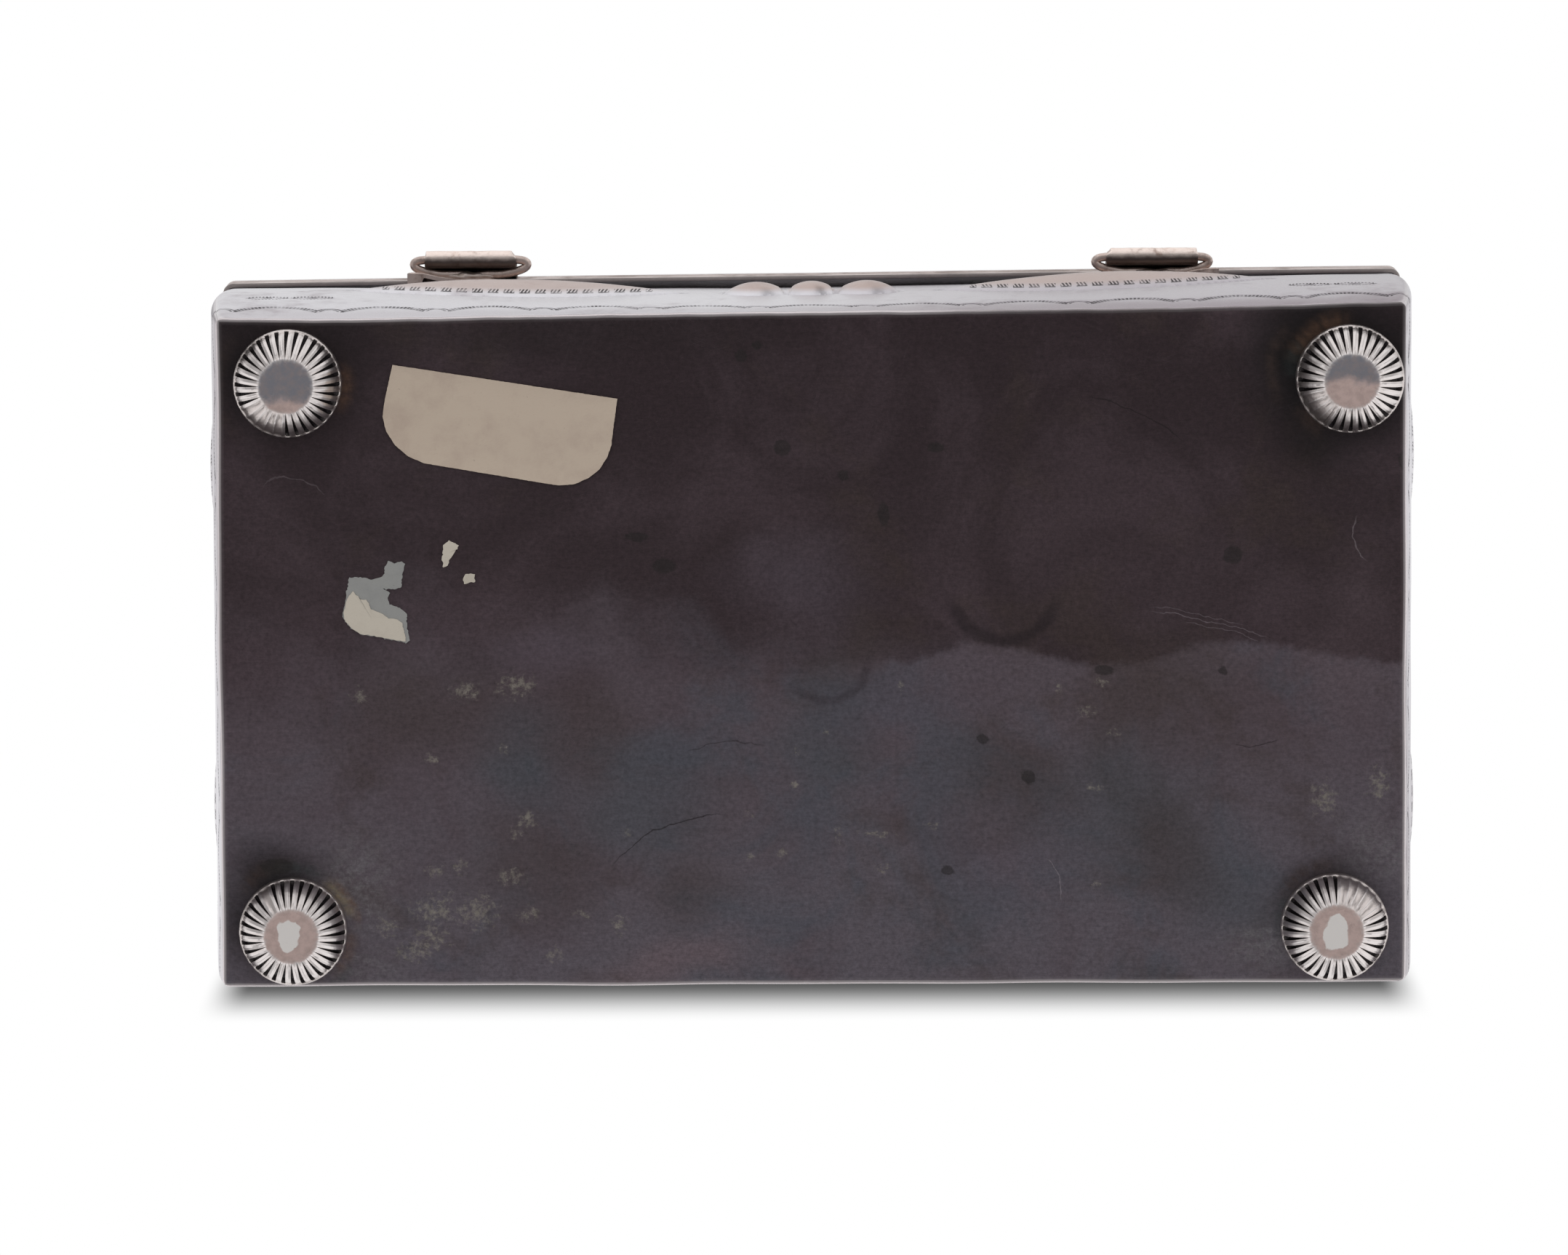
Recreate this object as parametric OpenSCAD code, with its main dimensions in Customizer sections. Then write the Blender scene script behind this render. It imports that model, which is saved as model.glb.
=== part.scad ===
// An inlaid silver box with a hinged lid, raised and soldered by hand from sheet.
// It stands on four fluted button feet. +Z is up, +Y is the back, where the two hinges are.
// The origin is the middle of the footprint, on the surface that the feet stand on.

/* [Box] */
// Width of the bottom plate, left to right
box_w = 136.2; // [112:0.2:180]
// Depth of the bottom plate, front to back
box_d = 77.6; // [70:0.2:120]
// Height of the walls, from the bottom plate to the rim
wall_h = 40; // [34:0.5:60]
// Thickness of the sheet in the bottom plate and the walls
sheet_t = 0.9; // [0.7:0.05:1.2]
// How far each wall swells outwards at half its height
wall_swell = 1.6; // [0.8:0.1:2]
// Radius of the corner seams where the walls swell most
corner_r = 2; // [1:0.25:2.25]
// Radius of the corners of the bottom plate
plate_corner_r = 0.8; // [0.3:0.1:1.5]

/* [Raised work on the walls] */
// Length of a long leaf on the front and the back
leaf_len = 38.8; // [26:0.2:44]
// Height of a long leaf
leaf_h = 12; // [8:0.5:16]
// How far a long leaf stands out of its wall
leaf_relief = 1.2; // [0.6:0.1:2]
// Distance from the middle of the wall to the middle of a long leaf
leaf_x = 34.2; // [32:0.2:36]
// Height of the band of raised work above the bottom plate
relief_z = 20.5; // [18:0.5:21.5]
// Diameter of the round dome in the middle of the front and the back
dome_d = 6.3; // [5:0.1:8]
// How far the middle dome stands out of its wall
dome_relief = 1.2; // [0.6:0.1:1.6]
// Diameter of the two domes beside it
side_dome_d = 7.4; // [5:0.1:8]
// Distance from the middle of the wall to the middle of a side dome
side_dome_x = 6.4; // [4.5:0.1:8]
// Length of a short leaf on the left and right walls
short_leaf_len = 15; // [10:0.5:20]
// Height of a short leaf
short_leaf_h = 10; // [7:0.5:14]
// How far a short leaf stands out of its wall
short_leaf_relief = 0.7; // [0.4:0.1:1.2]
// Distance from the middle of the wall to the middle of a short leaf
short_leaf_y = 20; // [14:0.5:24]

/* [Feet] */
// Diameter of a button foot
foot_d = 12.4; // [10:0.2:15]
// Diameter of the flat worn on its tip
foot_worn_d = 5.9; // [4.5:0.1:7.5]
// Number of flutes round a foot
flutes = 32; // [24:2:36]
// Radius of a flute's round bottom
flute_r = 0.25; // [0.15:0.01:0.28]
// Height of the plain rim where a foot meets the bottom plate
foot_rim_h = 0.35; // [0.2:0.05:0.8]
// Distance from the side edge of the plate to the middle of a foot
foot_inset_side = 8.2; // [8:0.1:12]
// Distance from the front edge of the plate to the middle of a front foot
foot_inset_front = 6.5; // [6.3:0.1:12]
// Distance from the back edge of the plate to the middle of a back foot
foot_inset_back = 7.9; // [6.4:0.1:12]
// How much nearer to its side edge the back left foot was set by hand
foot_set_error = 1.7; // [0:0.1:1.7]

/* [Lid] */
// Thickness of the sheet in the lid's plate
lid_t = 0.7; // [0.5:0.05:1]
// How high the lid's cushion rises above its flat brim
lid_crown = 3; // [1.5:0.25:5]
// Width of the flat brim that rests on the rim of the walls
brim_w = 2.7; // [2.5:0.1:4]
// Width of the curved shoulder between the brim and the flat middle
shoulder_w = 13; // [9:0.5:15]
// Height of the skirt that hangs round the rim
skirt_h = 4.5; // [3:0.25:6]
// Thickness of the skirt
skirt_t = 0.5; // [0.4:0.05:0.8]
// Clearance between the skirt's lower edge and the wall, also round the wall's corners
skirt_gap = 0.3; // [0.3:0.05:0.8]
// Clearance between the lid's brim and the rim when the lid is shut
seat_gap = 0.1; // [0.05:0.01:0.3]

/* [Raised work on the lid] */
// Length of a leaf on the lid
lid_leaf_len = 26; // [18:0.5:28]
// Width of a leaf on the lid
lid_leaf_h = 10; // [7:0.5:12]
// How far a leaf stands out of the lid
lid_leaf_relief = 1; // [0.5:0.1:1.5]
// Distance from the middle of the lid to the middle of a leaf
lid_leaf_x = 37.5; // [36.5:0.5:38.5]

/* [Inlay] */
// Length of the oval medallion over its bezel
inlay_l = 44; // [36:0.5:45]
// Width of the oval medallion over its bezel
inlay_w = 30; // [26:0.5:34]
// Radius of the medallion's two ends
inlay_end_r = 11; // [10:0.25:12.5]
// Height of the stones above the lid
inlay_h = 1.6; // [1.2:0.1:2.4]
// How far the bezel stands above the stones
bezel_lip = 0.3; // [0.1:0.05:0.5]
// Thickness of the bezel strip
bezel_t = 0.5; // [0.35:0.05:0.8]
// Thickness of the plate under the stones
inlay_floor_t = 0.4; // [0.3:0.05:0.6]
// Thickness of the silver strips between the stones
channel_t = 0.6; // [0.4:0.05:0.9]
// Length of the middle stone
stone_l = 18; // [14:0.5:21]
// Width of the middle stone
stone_w = 12; // [10:0.5:14]
// Radius of the middle stone's two ends
stone_end_r = 4.5; // [4:0.25:5]
// How high the middle stone is domed above the others
stone_dome = 1.2; // [0.6:0.1:2]
// Number of wedge stones round the middle one
wedges = 12; // [8:4:16]
// Clearance between a stone and the silver round it
stone_gap = 0.05; // [0.03:0.01:0.1]

/* [Hinges] */
// Distance from the middle of the box to the middle of a hinge
hinge_x = 40.2; // [30:0.2:44]
// Diameter of the ring's wire
wire_d = 1; // [0.8:0.05:1.3]
// Length of a ring over its ends
ring_len = 14.2; // [13:0.2:18]
// Width of a strap
strap_w = 10.8; // [8:0.1:11]
// Thickness of a strap's sheet
strap_t = 0.5; // [0.4:0.05:0.7]
// Running clearance between a strap and the wire inside its bend
strap_run = 0.06; // [0.04:0.01:0.1]
// Clearance between a strap's bend and the ring's inner bar
pass_gap = 0.19; // [0.15:0.01:0.4]
// Clearance between the ring's wire and the skirt above it
ring_drop = 0.3; // [0.2:0.05:0.6]
// Width of the base strip that carries a ring
base_w = 15.6; // [12:0.2:18]
// Height of the base strip
base_h = 3.7; // [3:0.1:5]
// Thickness of the base strip
base_t = 0.75; // [0.5:0.05:1]
// Length of the solder that holds a ring to its base strip
solder_len = 5.5; // [3:0.5:7]
// Height of the straight part of a strap above the hinge axis
strap_rise = 0.6; // [0.5:0.05:0.8]
// Height over which a strap leans back to the skirt
strap_lean = 1.6; // [1.2:0.1:1.8]

/* [Hidden] */

// Overshoot of a cutting solid past the face it cuts
cut = 1;
// How deep a raised leaf or dome is rooted in its sheet
root = sheet_t / 2;
// Width and depth of the line chased round a leaf
line_w = 0.5;
line_depth = 0.25;
// How far the legs of a strap reach into its bend, which joins them
merge = 0.02;
// Angle by which a flute's cut runs on past the worn tip
flute_runout = 2;
// Facets of a circle, and of the large arcs that swell the walls
$fn = 96;
arc_fn = 360;

// Radii and levels of the walls
swell_r = (pow(wall_h / 2, 2) + pow(wall_swell, 2)) / (2 * wall_swell);
foot_h = sqrt(pow(foot_d / 2, 2) - pow(foot_worn_d / 2, 2));
floor_z = foot_h + sheet_t;
rim_z = floor_z + wall_h;

// How far the wall's outer face stands past the edge of the bottom plate at a height above the floor
function swell_at(z) = sqrt(pow(swell_r, 2) - pow(z - wall_h / 2, 2)) - swell_r + wall_swell;

// Levels and overhang of the lid
seat_z = rim_z + seat_gap;
skirt_z = seat_z - skirt_h;
lid_out = swell_at(skirt_z - floor_z) + skirt_gap + skirt_t;
crown_z = seat_z + lid_t + lid_crown;

// Round a square corner, the same clearance all the way asks for a radius of that clearance
skirt_corner_r = skirt_gap;
lid_corner_r = skirt_corner_r + skirt_t;

// The hinge axis is the middle of the ring's outer bar
bend_in_r = wire_d / 2 + strap_run;
bend_out_r = bend_in_r + strap_t;
ring_pitch = bend_out_r + pass_gap + wire_d / 2;
axis_z = skirt_z - ring_drop - wire_d / 2;
base_face = box_d / 2 + swell_at(axis_z - floor_z) + base_t;
axis_y = base_face + wire_d / 2 + ring_pitch;
bar_len = ring_len - ring_pitch - wire_d;

// The footprint of the whole box runs from the front skirt to the straps, or to a raised leaf
front_reach = box_d / 2 + max(lid_out, swell_at(relief_z) + max(
    leaf_relief - swell_drop(leaf_h), dome_relief - swell_drop(dome_d), dome_relief - swell_drop(side_dome_d)));
back_reach = axis_y + bend_out_r;
mid_y = (back_reach - front_reach) / 2;

// A rectangle with round corners, centred
module round_rect(w, d, r) {
    square([w - 2 * r, d], center = true);
    square([w, d - 2 * r], center = true);
    for (x = [-1, 1], y = [-1, 1])
        translate([x * (w / 2 - r), y * (d / 2 - r)]) circle(r = r);
}

// An oval of four arcs: half its length, half its width and the radius of its ends
module oval(half_l, half_w, end_r) {
    c = half_l - end_r;
    k = (pow(c, 2) - pow(half_w - end_r, 2)) / (2 * (half_w - end_r));
    flank_r = half_w + k;
    meet_x = c * flank_r / (flank_r - end_r);
    intersection() {
        translate([0, -k]) circle(r = flank_r, $fn = arc_fn);
        translate([0, k]) circle(r = flank_r, $fn = arc_fn);
        square([2 * meet_x, 4 * half_w], center = true);
    }
    for (x = [-1, 1])
        translate([x * c, 0]) circle(r = end_r);
}

// A pointed leaf with a soft ridge along X, standing out towards +Y from the plane y = 0.
// Two large balls meet in its ridge, and their edges in the plane draw its pointed outline.
module leaf(length, height, relief, depth) {
    side = leaf_arc_r(length, height) - height / 2;
    sunk = (pow(length / 2, 2) - pow(relief, 2)) / (2 * relief);
    ball_r = sqrt(pow(leaf_arc_r(length, height), 2) + pow(sunk, 2));
    intersection() {
        translate([0, -sunk, side]) sphere(r = ball_r, $fn = arc_fn);
        translate([0, -sunk, -side]) sphere(r = ball_r, $fn = arc_fn);
        translate([-length, -depth, -height]) cube([2 * length, depth + relief + cut, 2 * height]);
    }
}

// Radius of the two arcs that draw a leaf's outline
function leaf_arc_r(length, height) = (pow(length, 2) + pow(height, 2)) / (4 * height);

// A line chased round a leaf, cut into the sheet from the plane y = 0
module leaf_line(length, height) {
    side = leaf_arc_r(length, height) - height / 2;
    rotate([90, 0, 0]) linear_extrude(line_depth + cut) difference() {
        pointed_oval(leaf_arc_r(length, height) + line_w, side);
        pointed_oval(leaf_arc_r(length, height), side);
    }
}

module pointed_oval(arc_r, side) {
    intersection() {
        translate([0, side]) circle(r = arc_r, $fn = arc_fn);
        translate([0, -side]) circle(r = arc_r, $fn = arc_fn);
    }
}

// A round dome standing out towards +Y from the plane y = 0
module dome(d, relief, depth) {
    ball_r = (pow(d / 2, 2) + pow(relief, 2)) / (2 * relief);
    intersection() {
        translate([0, relief - ball_r, 0]) sphere(r = ball_r);
        translate([-d, -depth, -d]) cube([2 * d, depth + relief + cut, 2 * d]);
    }
}

// A swollen sheet panel facing +Y, with mitred ends, its lower outer edge on the X axis
module swollen_panel(length) {
    intersection() {
        translate([0, wall_swell - swell_r, wall_h / 2]) rotate([0, 90, 0]) difference() {
            cylinder(r = swell_r, h = 2 * length, center = true, $fn = arc_fn);
            cylinder(r = swell_r - sheet_t, h = 2 * length + cut, center = true, $fn = arc_fn);
        }
        mitred_block(length);
    }
}

// The space between the two mitres of a panel
module mitred_block(length) {
    m = 2 * (wall_swell + sheet_t);
    linear_extrude(wall_h)
        polygon([[-length / 2 - m, m], [length / 2 + m, m], [length / 2 - m, -m], [-length / 2 + m, -m]]);
}

// The outside of the four walls, which rounds the corner seams where the walls swell
module wall_envelope() {
    translate([0, 0, floor_z]) linear_extrude(wall_h)
        round_rect(box_w + 2 * wall_swell, box_d + 2 * wall_swell, corner_r);
}

// The leaves of a wall, two and two alike: [distance from the middle, length, height, relief]
function wall_leaf(long) =
    long ? [leaf_x, leaf_len, leaf_h, leaf_relief]
    : [short_leaf_y, short_leaf_len, short_leaf_h, short_leaf_relief];

// The leaves of a wall, and the three domes in the middle of a long one
module raised(long, depth) {
    f = wall_leaf(long);
    for (s = [-1, 1]) translate([s * f[0], -swell_drop(f[2]), 0]) leaf(f[1], f[2], f[3], depth);
    if (long) {
        for (s = [-1, 1])
            translate([s * side_dome_x, -swell_drop(side_dome_d), 0]) dome(side_dome_d, dome_relief, depth);
        translate([0, -swell_drop(dome_d), 0]) dome(dome_d, dome_relief, depth);
    }
}

// How far the wall falls back from its face at the upper and lower edge of a form of this height
function swell_drop(height) = swell_at(relief_z) - swell_at(relief_z + height / 2);

// A wall facing +Y. Its raised work is pushed out from inside, so the back of the sheet is hollow there,
// and a line is chased round each leaf.
module wall(length, long) {
    face = swell_at(relief_z);
    f = wall_leaf(long);
    difference() {
        union() {
            swollen_panel(length);
            translate([0, face, relief_z]) raised(long, root);
        }
        translate([0, face - sheet_t, relief_z]) raised(long, sheet_t);
        for (s = [-1, 1])
            translate([s * f[0], face - swell_drop(f[2]) + cut, relief_z]) leaf_line(f[1], f[2]);
    }
}

// A wall set on the bottom plate: turn is the way it faces, away its distance from the middle
module placed_wall(turn, away, length, long) {
    color("silver") translate([0, -mid_y, 0]) intersection() {
        rotate([0, 0, turn]) translate([0, away, floor_z]) wall(length, long);
        raised_envelope(turn, away, length);
    }
}

// The corner seams are rounded, and the raised work in the middle of a wall is left whole
module raised_envelope(turn, away, length) {
    wall_envelope();
    rotate([0, 0, turn]) translate([0, away, floor_z + wall_h / 2])
        cube([length - 2 * corner_r, 4 * (wall_swell + leaf_relief), wall_h], center = true);
}

module bottom_plate() {
    color("dimgray") translate([0, -mid_y, foot_h]) linear_extrude(sheet_t)
        round_rect(box_w, box_d, plate_corner_r);
}

module front_wall() { placed_wall(180, box_d / 2, box_w, true); }
module back_wall() { placed_wall(0, box_d / 2, box_w, true); }
module left_wall() { placed_wall(90, box_w / 2, box_d, false); }
module right_wall() { placed_wall(-90, box_w / 2, box_d, false); }

// A fluted button: half a ball, its tip worn flat, with flutes that run from a plain rim to the tip
module fluted_button() {
    r = foot_d / 2;
    difference() {
        intersection() {
            translate([0, 0, foot_h]) sphere(r = r);
            cylinder(r = r + cut, h = foot_h);
        }
        translate([0, 0, foot_h])
            for (i = [0 : flutes - 1]) rotate([0, 0, i * 360 / flutes]) flute(r);
    }
}

// One flute follows the ball down from the plain rim and runs out at the worn tip
module flute(r) {
    start = asin((foot_rim_h + flute_r) / r);
    end = asin(foot_h / r) + flute_runout;
    rotate([-90, 0, 0]) rotate([0, 0, start]) rotate_extrude(angle = end - start)
        translate([r, 0]) circle(r = flute_r, $fn = 24);
}

// A foot at its corner: side is -1 at the left, end is -1 at the front
module foot(side, end, inset_side) {
    inset_end = end < 0 ? foot_inset_front : foot_inset_back;
    color("gainsboro")
        translate([side * (box_w / 2 - inset_side), end * (box_d / 2 - inset_end) - mid_y, 0])
            fluted_button();
}

module foot_front_left() { foot(-1, -1, foot_inset_side); }
module foot_front_right() { foot(1, -1, foot_inset_side); }
module foot_back_left() { foot(-1, 1, foot_inset_side - foot_set_error); }
module foot_back_right() { foot(1, 1, foot_inset_side); }

// The strip that carries a ring follows the swell of the back wall, with a seat of solder for the ring
module hinge_base(side) {
    seat_h = wire_d / 2;
    color("rosybrown") translate([side * hinge_x, -mid_y, 0]) {
        intersection() {
            translate([0, box_d / 2 + wall_swell - swell_r, floor_z + wall_h / 2]) rotate([0, 90, 0])
                difference() {
                    cylinder(r = swell_r + base_t, h = base_w, center = true, $fn = arc_fn);
                    cylinder(r = swell_r, h = base_w + cut, center = true, $fn = arc_fn);
                }
            translate([-base_w / 2, box_d / 2, axis_z + wire_d / 2 - base_h])
                cube([base_w, 4 * base_t, base_h]);
        }
        difference() {
            translate([-solder_len / 2, base_face - base_t / 2, axis_z - wire_d / 2])
                cube([solder_len, base_t / 2 + seat_h, wire_d]);
            translate([0, axis_y - ring_pitch, axis_z]) rotate([0, 90, 0])
                cylinder(d = wire_d, h = solder_len + cut, center = true, $fn = 48);
        }
    }
}

module hinge_base_left() { hinge_base(-1); }
module hinge_base_right() { hinge_base(1); }

// A long oval link of round wire. Its outer bar is the hinge pin.
module hinge_ring(side) {
    color("tan") translate([side * hinge_x, axis_y - ring_pitch / 2 - mid_y, axis_z]) {
        for (s = [-1, 1]) {
            translate([0, s * ring_pitch / 2, 0]) rotate([0, 90, 0])
                cylinder(d = wire_d, h = bar_len, center = true, $fn = 48);
            translate([s * bar_len / 2, 0, 0]) rotate([0, 0, -s * 90]) rotate_extrude(angle = 180)
                translate([ring_pitch / 2, 0]) circle(d = wire_d, $fn = 48);
        }
    }
}

module hinge_ring_left() { hinge_ring(-1); }
module hinge_ring_right() { hinge_ring(1); }

// The outline of a bent strip of sheet: the points of its middle line, and its thickness
function unit(v) = v / norm(v);
function square_to(a, b) = [-unit(b - a)[1], unit(b - a)[0]];
function joint_dir(p, i) =
    i == 0 ? square_to(p[0], p[1])
    : i == len(p) - 1 ? square_to(p[i - 1], p[i])
    : let (m = unit(square_to(p[i - 1], p[i]) + square_to(p[i], p[i + 1]))) m / (m * square_to(p[i], p[i + 1]));
function ribbon(p, t) = concat(
    [for (i = [0 : len(p) - 1]) p[i] + t / 2 * joint_dir(p, i)],
    [for (i = [len(p) - 1 : -1 : 0]) p[i] - t / 2 * joint_dir(p, i)]
);

// A strap bends round the ring's outer bar, and both its legs lean back to the skirt, where they are soldered
module hinge_strap(side) {
    mid_r = (bend_in_r + bend_out_r) / 2;
    skirt_face = box_d / 2 + lid_out - axis_y;
    top = seat_z - axis_z;
    inner_y = skirt_face + strap_t / 2;
    outer_y = skirt_face + strap_t * 3 / 2;
    color("rosybrown") translate([side * hinge_x, axis_y - mid_y, axis_z]) {
        rotate([0, 90, 0]) difference() {
            cylinder(r = bend_out_r, h = strap_w, center = true);
            cylinder(r = bend_in_r, h = strap_w + cut, center = true);
            translate([-2 * bend_out_r, 0, 0])
                cube([4 * bend_out_r, 4 * bend_out_r, strap_w + cut], center = true);
        }
        strap_leg([
            [-mid_r, -merge], [-mid_r, strap_rise], [inner_y, strap_rise + strap_lean], [inner_y, top]
        ]);
        strap_leg([
            [mid_r, -merge], [mid_r, strap_rise], [outer_y, strap_rise + 2 * strap_lean], [outer_y, top]
        ]);
    }
}

// One leg of a strap, along the points of its middle line in the YZ plane
module strap_leg(points) {
    rotate([90, 0, 90]) linear_extrude(strap_w, center = true) polygon(ribbon(points, strap_t));
}

module hinge_strap_left() { hinge_strap(-1); }
module hinge_strap_right() { hinge_strap(1); }

// The points of a rectangle with round corners, anticlockwise
corner_steps = 8;
function round_rect_points(half_w, half_d, r) = [
    for (q = [0 : 3], j = [0 : corner_steps])
        let (a = 90 * (q + j / corner_steps), sx = q == 0 || q == 3 ? 1 : -1, sy = q < 2 ? 1 : -1)
            [sx * (half_w - r) + r * cos(a), sy * (half_d - r) + r * sin(a)]
];

// One level line of the lid's cushion, at a distance in from its edge. Inner lines have rounder corners.
shoulder_steps = 7;
function level_line(inset) = round_rect_points(
    box_w / 2 + lid_out - inset, box_d / 2 + lid_out - inset, lid_corner_r + inset);
function cushion_rise(s) = lid_crown * (1 - pow(1 - s, 2));
function level_at(line, z) = [for (p = line) [p[0], p[1], z]];
function cushion_levels(z) = concat(
    [level_at(level_line(0), z)],
    [for (k = [0 : shoulder_steps])
        level_at(level_line(brim_w + shoulder_w * k / shoulder_steps), z + cushion_rise(k / shoulder_steps))]
);
function flat(lists) = [for (list = lists) for (p = list) p];
function strip(a, b, n) = [
    for (i = [0 : n - 1])
        let (j = (i + 1) % n) each [[a + i, b + j, a + j], [a + i, b + i, b + j]]
];

// The cushion of the lid: a thin shell whose upper and lower faces are the same height apart all over
module cushion() {
    n = 4 * (corner_steps + 1);
    levels = shoulder_steps + 2;
    low = levels * n;
    points = concat(flat(cushion_levels(lid_t)), flat(cushion_levels(0)));
    upper = [for (k = [0 : levels - 2]) each strip(k * n, (k + 1) * n, n)];
    lower = [for (k = [0 : levels - 2]) each strip(low + (k + 1) * n, low + k * n, n)];
    polyhedron(points, concat(
        upper,
        [[for (i = [n - 1 : -1 : 0]) (levels - 1) * n + i]],
        lower,
        [[for (i = [0 : n - 1]) low + (levels - 1) * n + i]],
        strip(low, 0, n)
    ));
}

// A leaf pushed up out of the lid, towards +Z
module lid_leaves(depth) {
    for (s = [-1, 1]) on_lid(s) leaf(lid_leaf_len, lid_leaf_h, lid_leaf_relief, depth);
}

// The place of a leaf on the lid, turned so that it stands out towards +Z
module on_lid(s) {
    translate([s * lid_leaf_x, 0, 0]) rotate([90, 0, 0]) children();
}

module lid_plate() {
    color("lightgray") translate([0, -mid_y, seat_z]) difference() {
        union() {
            cushion();
            translate([0, 0, lid_t + lid_crown]) lid_leaves(lid_t / 2);
        }
        translate([0, 0, lid_crown]) lid_leaves(lid_t);
        for (s = [-1, 1])
            translate([0, 0, lid_t + lid_crown + cut]) on_lid(s) leaf_line(lid_leaf_len, lid_leaf_h);
    }
}

module lid_skirt() {
    w = box_w + 2 * lid_out;
    d = box_d + 2 * lid_out;
    color("rosybrown") translate([0, -mid_y, skirt_z]) difference() {
        linear_extrude(skirt_h) round_rect(w, d, lid_corner_r);
        translate([0, 0, -cut]) linear_extrude(skirt_h + 2 * cut)
            round_rect(w - 2 * skirt_t, d - 2 * skirt_t, skirt_corner_r);
    }
}

// The outline of the medallion inside its bezel, drawn in by a margin
module medallion(margin) {
    e = bezel_t + margin;
    oval(inlay_l / 2 - e, inlay_w / 2 - e, inlay_end_r - e);
}

// The outline of the middle stone, let out by a margin
module middle_outline(margin) {
    oval(stone_l / 2 + margin, stone_w / 2 + margin, stone_end_r + margin);
}

// One wedge between the middle stone and the edge, with half a strip left free along each side
module wedge_outline(i, margin) {
    step = 360 / wedges;
    apex = (channel_t / 2 + margin) / sin(step / 2);
    difference() {
        intersection() {
            medallion(channel_t / 2 + margin);
            rotate(i * step) translate([apex, 0]) polygon([
                [0, 0], inlay_l * [cos(step / 2), -sin(step / 2)], inlay_l * [cos(step / 2), sin(step / 2)]
            ]);
        }
        middle_outline(channel_t + margin);
    }
}

// Every third wedge is coral, or four in all, and the others are turquoise
function is_coral(i) = i % (wedges / 4) == 0;

module wedge_stones(coral) {
    translate([0, -mid_y, crown_z + inlay_floor_t]) linear_extrude(inlay_h - inlay_floor_t)
        for (i = [0 : wedges - 1])
            if (is_coral(i) == coral) wedge_outline(i, stone_gap);
}

module turquoise_stones() { color("mediumturquoise") wedge_stones(false); }
module coral_stones() { color("orangered") wedge_stones(true); }

// The middle stone is a low cabochon, domed by a large ball
module middle_stone() {
    stand = inlay_h - inlay_floor_t + stone_dome;
    ball_r = (pow(stone_l / 2, 2) + pow(stone_dome + bezel_lip, 2)) / (2 * (stone_dome + bezel_lip));
    color("turquoise") translate([0, -mid_y, crown_z + inlay_floor_t]) intersection() {
        linear_extrude(stand) middle_outline(-stone_gap);
        translate([0, 0, stand - ball_r]) sphere(r = ball_r, $fn = arc_fn);
    }
}

// The silver frame of the inlay: a floor, the strips between the stones and the ring round the middle one
module inlay_frame() {
    color("silver") translate([0, -mid_y, crown_z]) difference() {
        linear_extrude(inlay_h) medallion(stone_gap);
        translate([0, 0, inlay_floor_t]) linear_extrude(inlay_h) {
            middle_outline(0);
            for (i = [0 : wedges - 1]) wedge_outline(i, 0);
        }
    }
}

module inlay_bezel() {
    color("white") translate([0, -mid_y, crown_z]) difference() {
        linear_extrude(inlay_h + bezel_lip) oval(inlay_l / 2, inlay_w / 2, inlay_end_r);
        translate([0, 0, -cut]) linear_extrude(inlay_h + bezel_lip + 2 * cut) medallion(0);
    }
}

bottom_plate();
front_wall();
back_wall();
left_wall();
right_wall();
foot_front_left();
foot_front_right();
foot_back_left();
foot_back_right();
hinge_base_left();
hinge_base_right();
hinge_ring_left();
hinge_ring_right();
lid_plate();
lid_skirt();
hinge_strap_left();
hinge_strap_right();
inlay_frame();
inlay_bezel();
middle_stone();
turquoise_stones();
coral_stones();
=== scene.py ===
# %% [markdown]
# # A silver box with an inlaid lid
# A small box raised by hand from thin silver sheet. Its bottom is dark with years of tarnish, its walls
# swell and carry raised leaves and stamped borders, and a lid with turquoise and coral turns on two
# hinges of wire ring and bent strap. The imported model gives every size, so it is loaded first and
# everything after it is built in the same place, in metres.

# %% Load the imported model
import math

import bmesh
import bpy
import numpy as np
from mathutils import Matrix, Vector


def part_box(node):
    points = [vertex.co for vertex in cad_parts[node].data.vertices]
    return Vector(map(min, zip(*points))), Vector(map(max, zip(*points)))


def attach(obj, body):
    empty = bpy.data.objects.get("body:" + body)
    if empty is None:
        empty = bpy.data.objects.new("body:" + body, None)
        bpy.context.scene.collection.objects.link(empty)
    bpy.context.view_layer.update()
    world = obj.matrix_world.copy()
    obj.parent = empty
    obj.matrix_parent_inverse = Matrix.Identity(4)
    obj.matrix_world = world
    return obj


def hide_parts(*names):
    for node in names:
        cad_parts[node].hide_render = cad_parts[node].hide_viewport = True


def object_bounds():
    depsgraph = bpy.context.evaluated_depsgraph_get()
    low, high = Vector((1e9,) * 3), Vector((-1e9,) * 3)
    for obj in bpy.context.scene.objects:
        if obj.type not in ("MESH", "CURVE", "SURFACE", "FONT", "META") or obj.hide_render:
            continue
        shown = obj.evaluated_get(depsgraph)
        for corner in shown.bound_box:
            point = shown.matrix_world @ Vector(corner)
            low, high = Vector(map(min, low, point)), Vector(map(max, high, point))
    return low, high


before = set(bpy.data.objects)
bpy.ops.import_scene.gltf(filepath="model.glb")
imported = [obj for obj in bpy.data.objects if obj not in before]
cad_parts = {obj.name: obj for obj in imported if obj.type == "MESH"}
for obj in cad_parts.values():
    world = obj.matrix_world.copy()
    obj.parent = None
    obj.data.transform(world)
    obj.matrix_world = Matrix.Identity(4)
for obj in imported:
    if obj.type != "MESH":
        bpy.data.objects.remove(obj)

cad_low, cad_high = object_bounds()
print("packed model", [round(v, 4) for v in (*cad_low, *cad_high)], "nodes", len(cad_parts))

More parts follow.
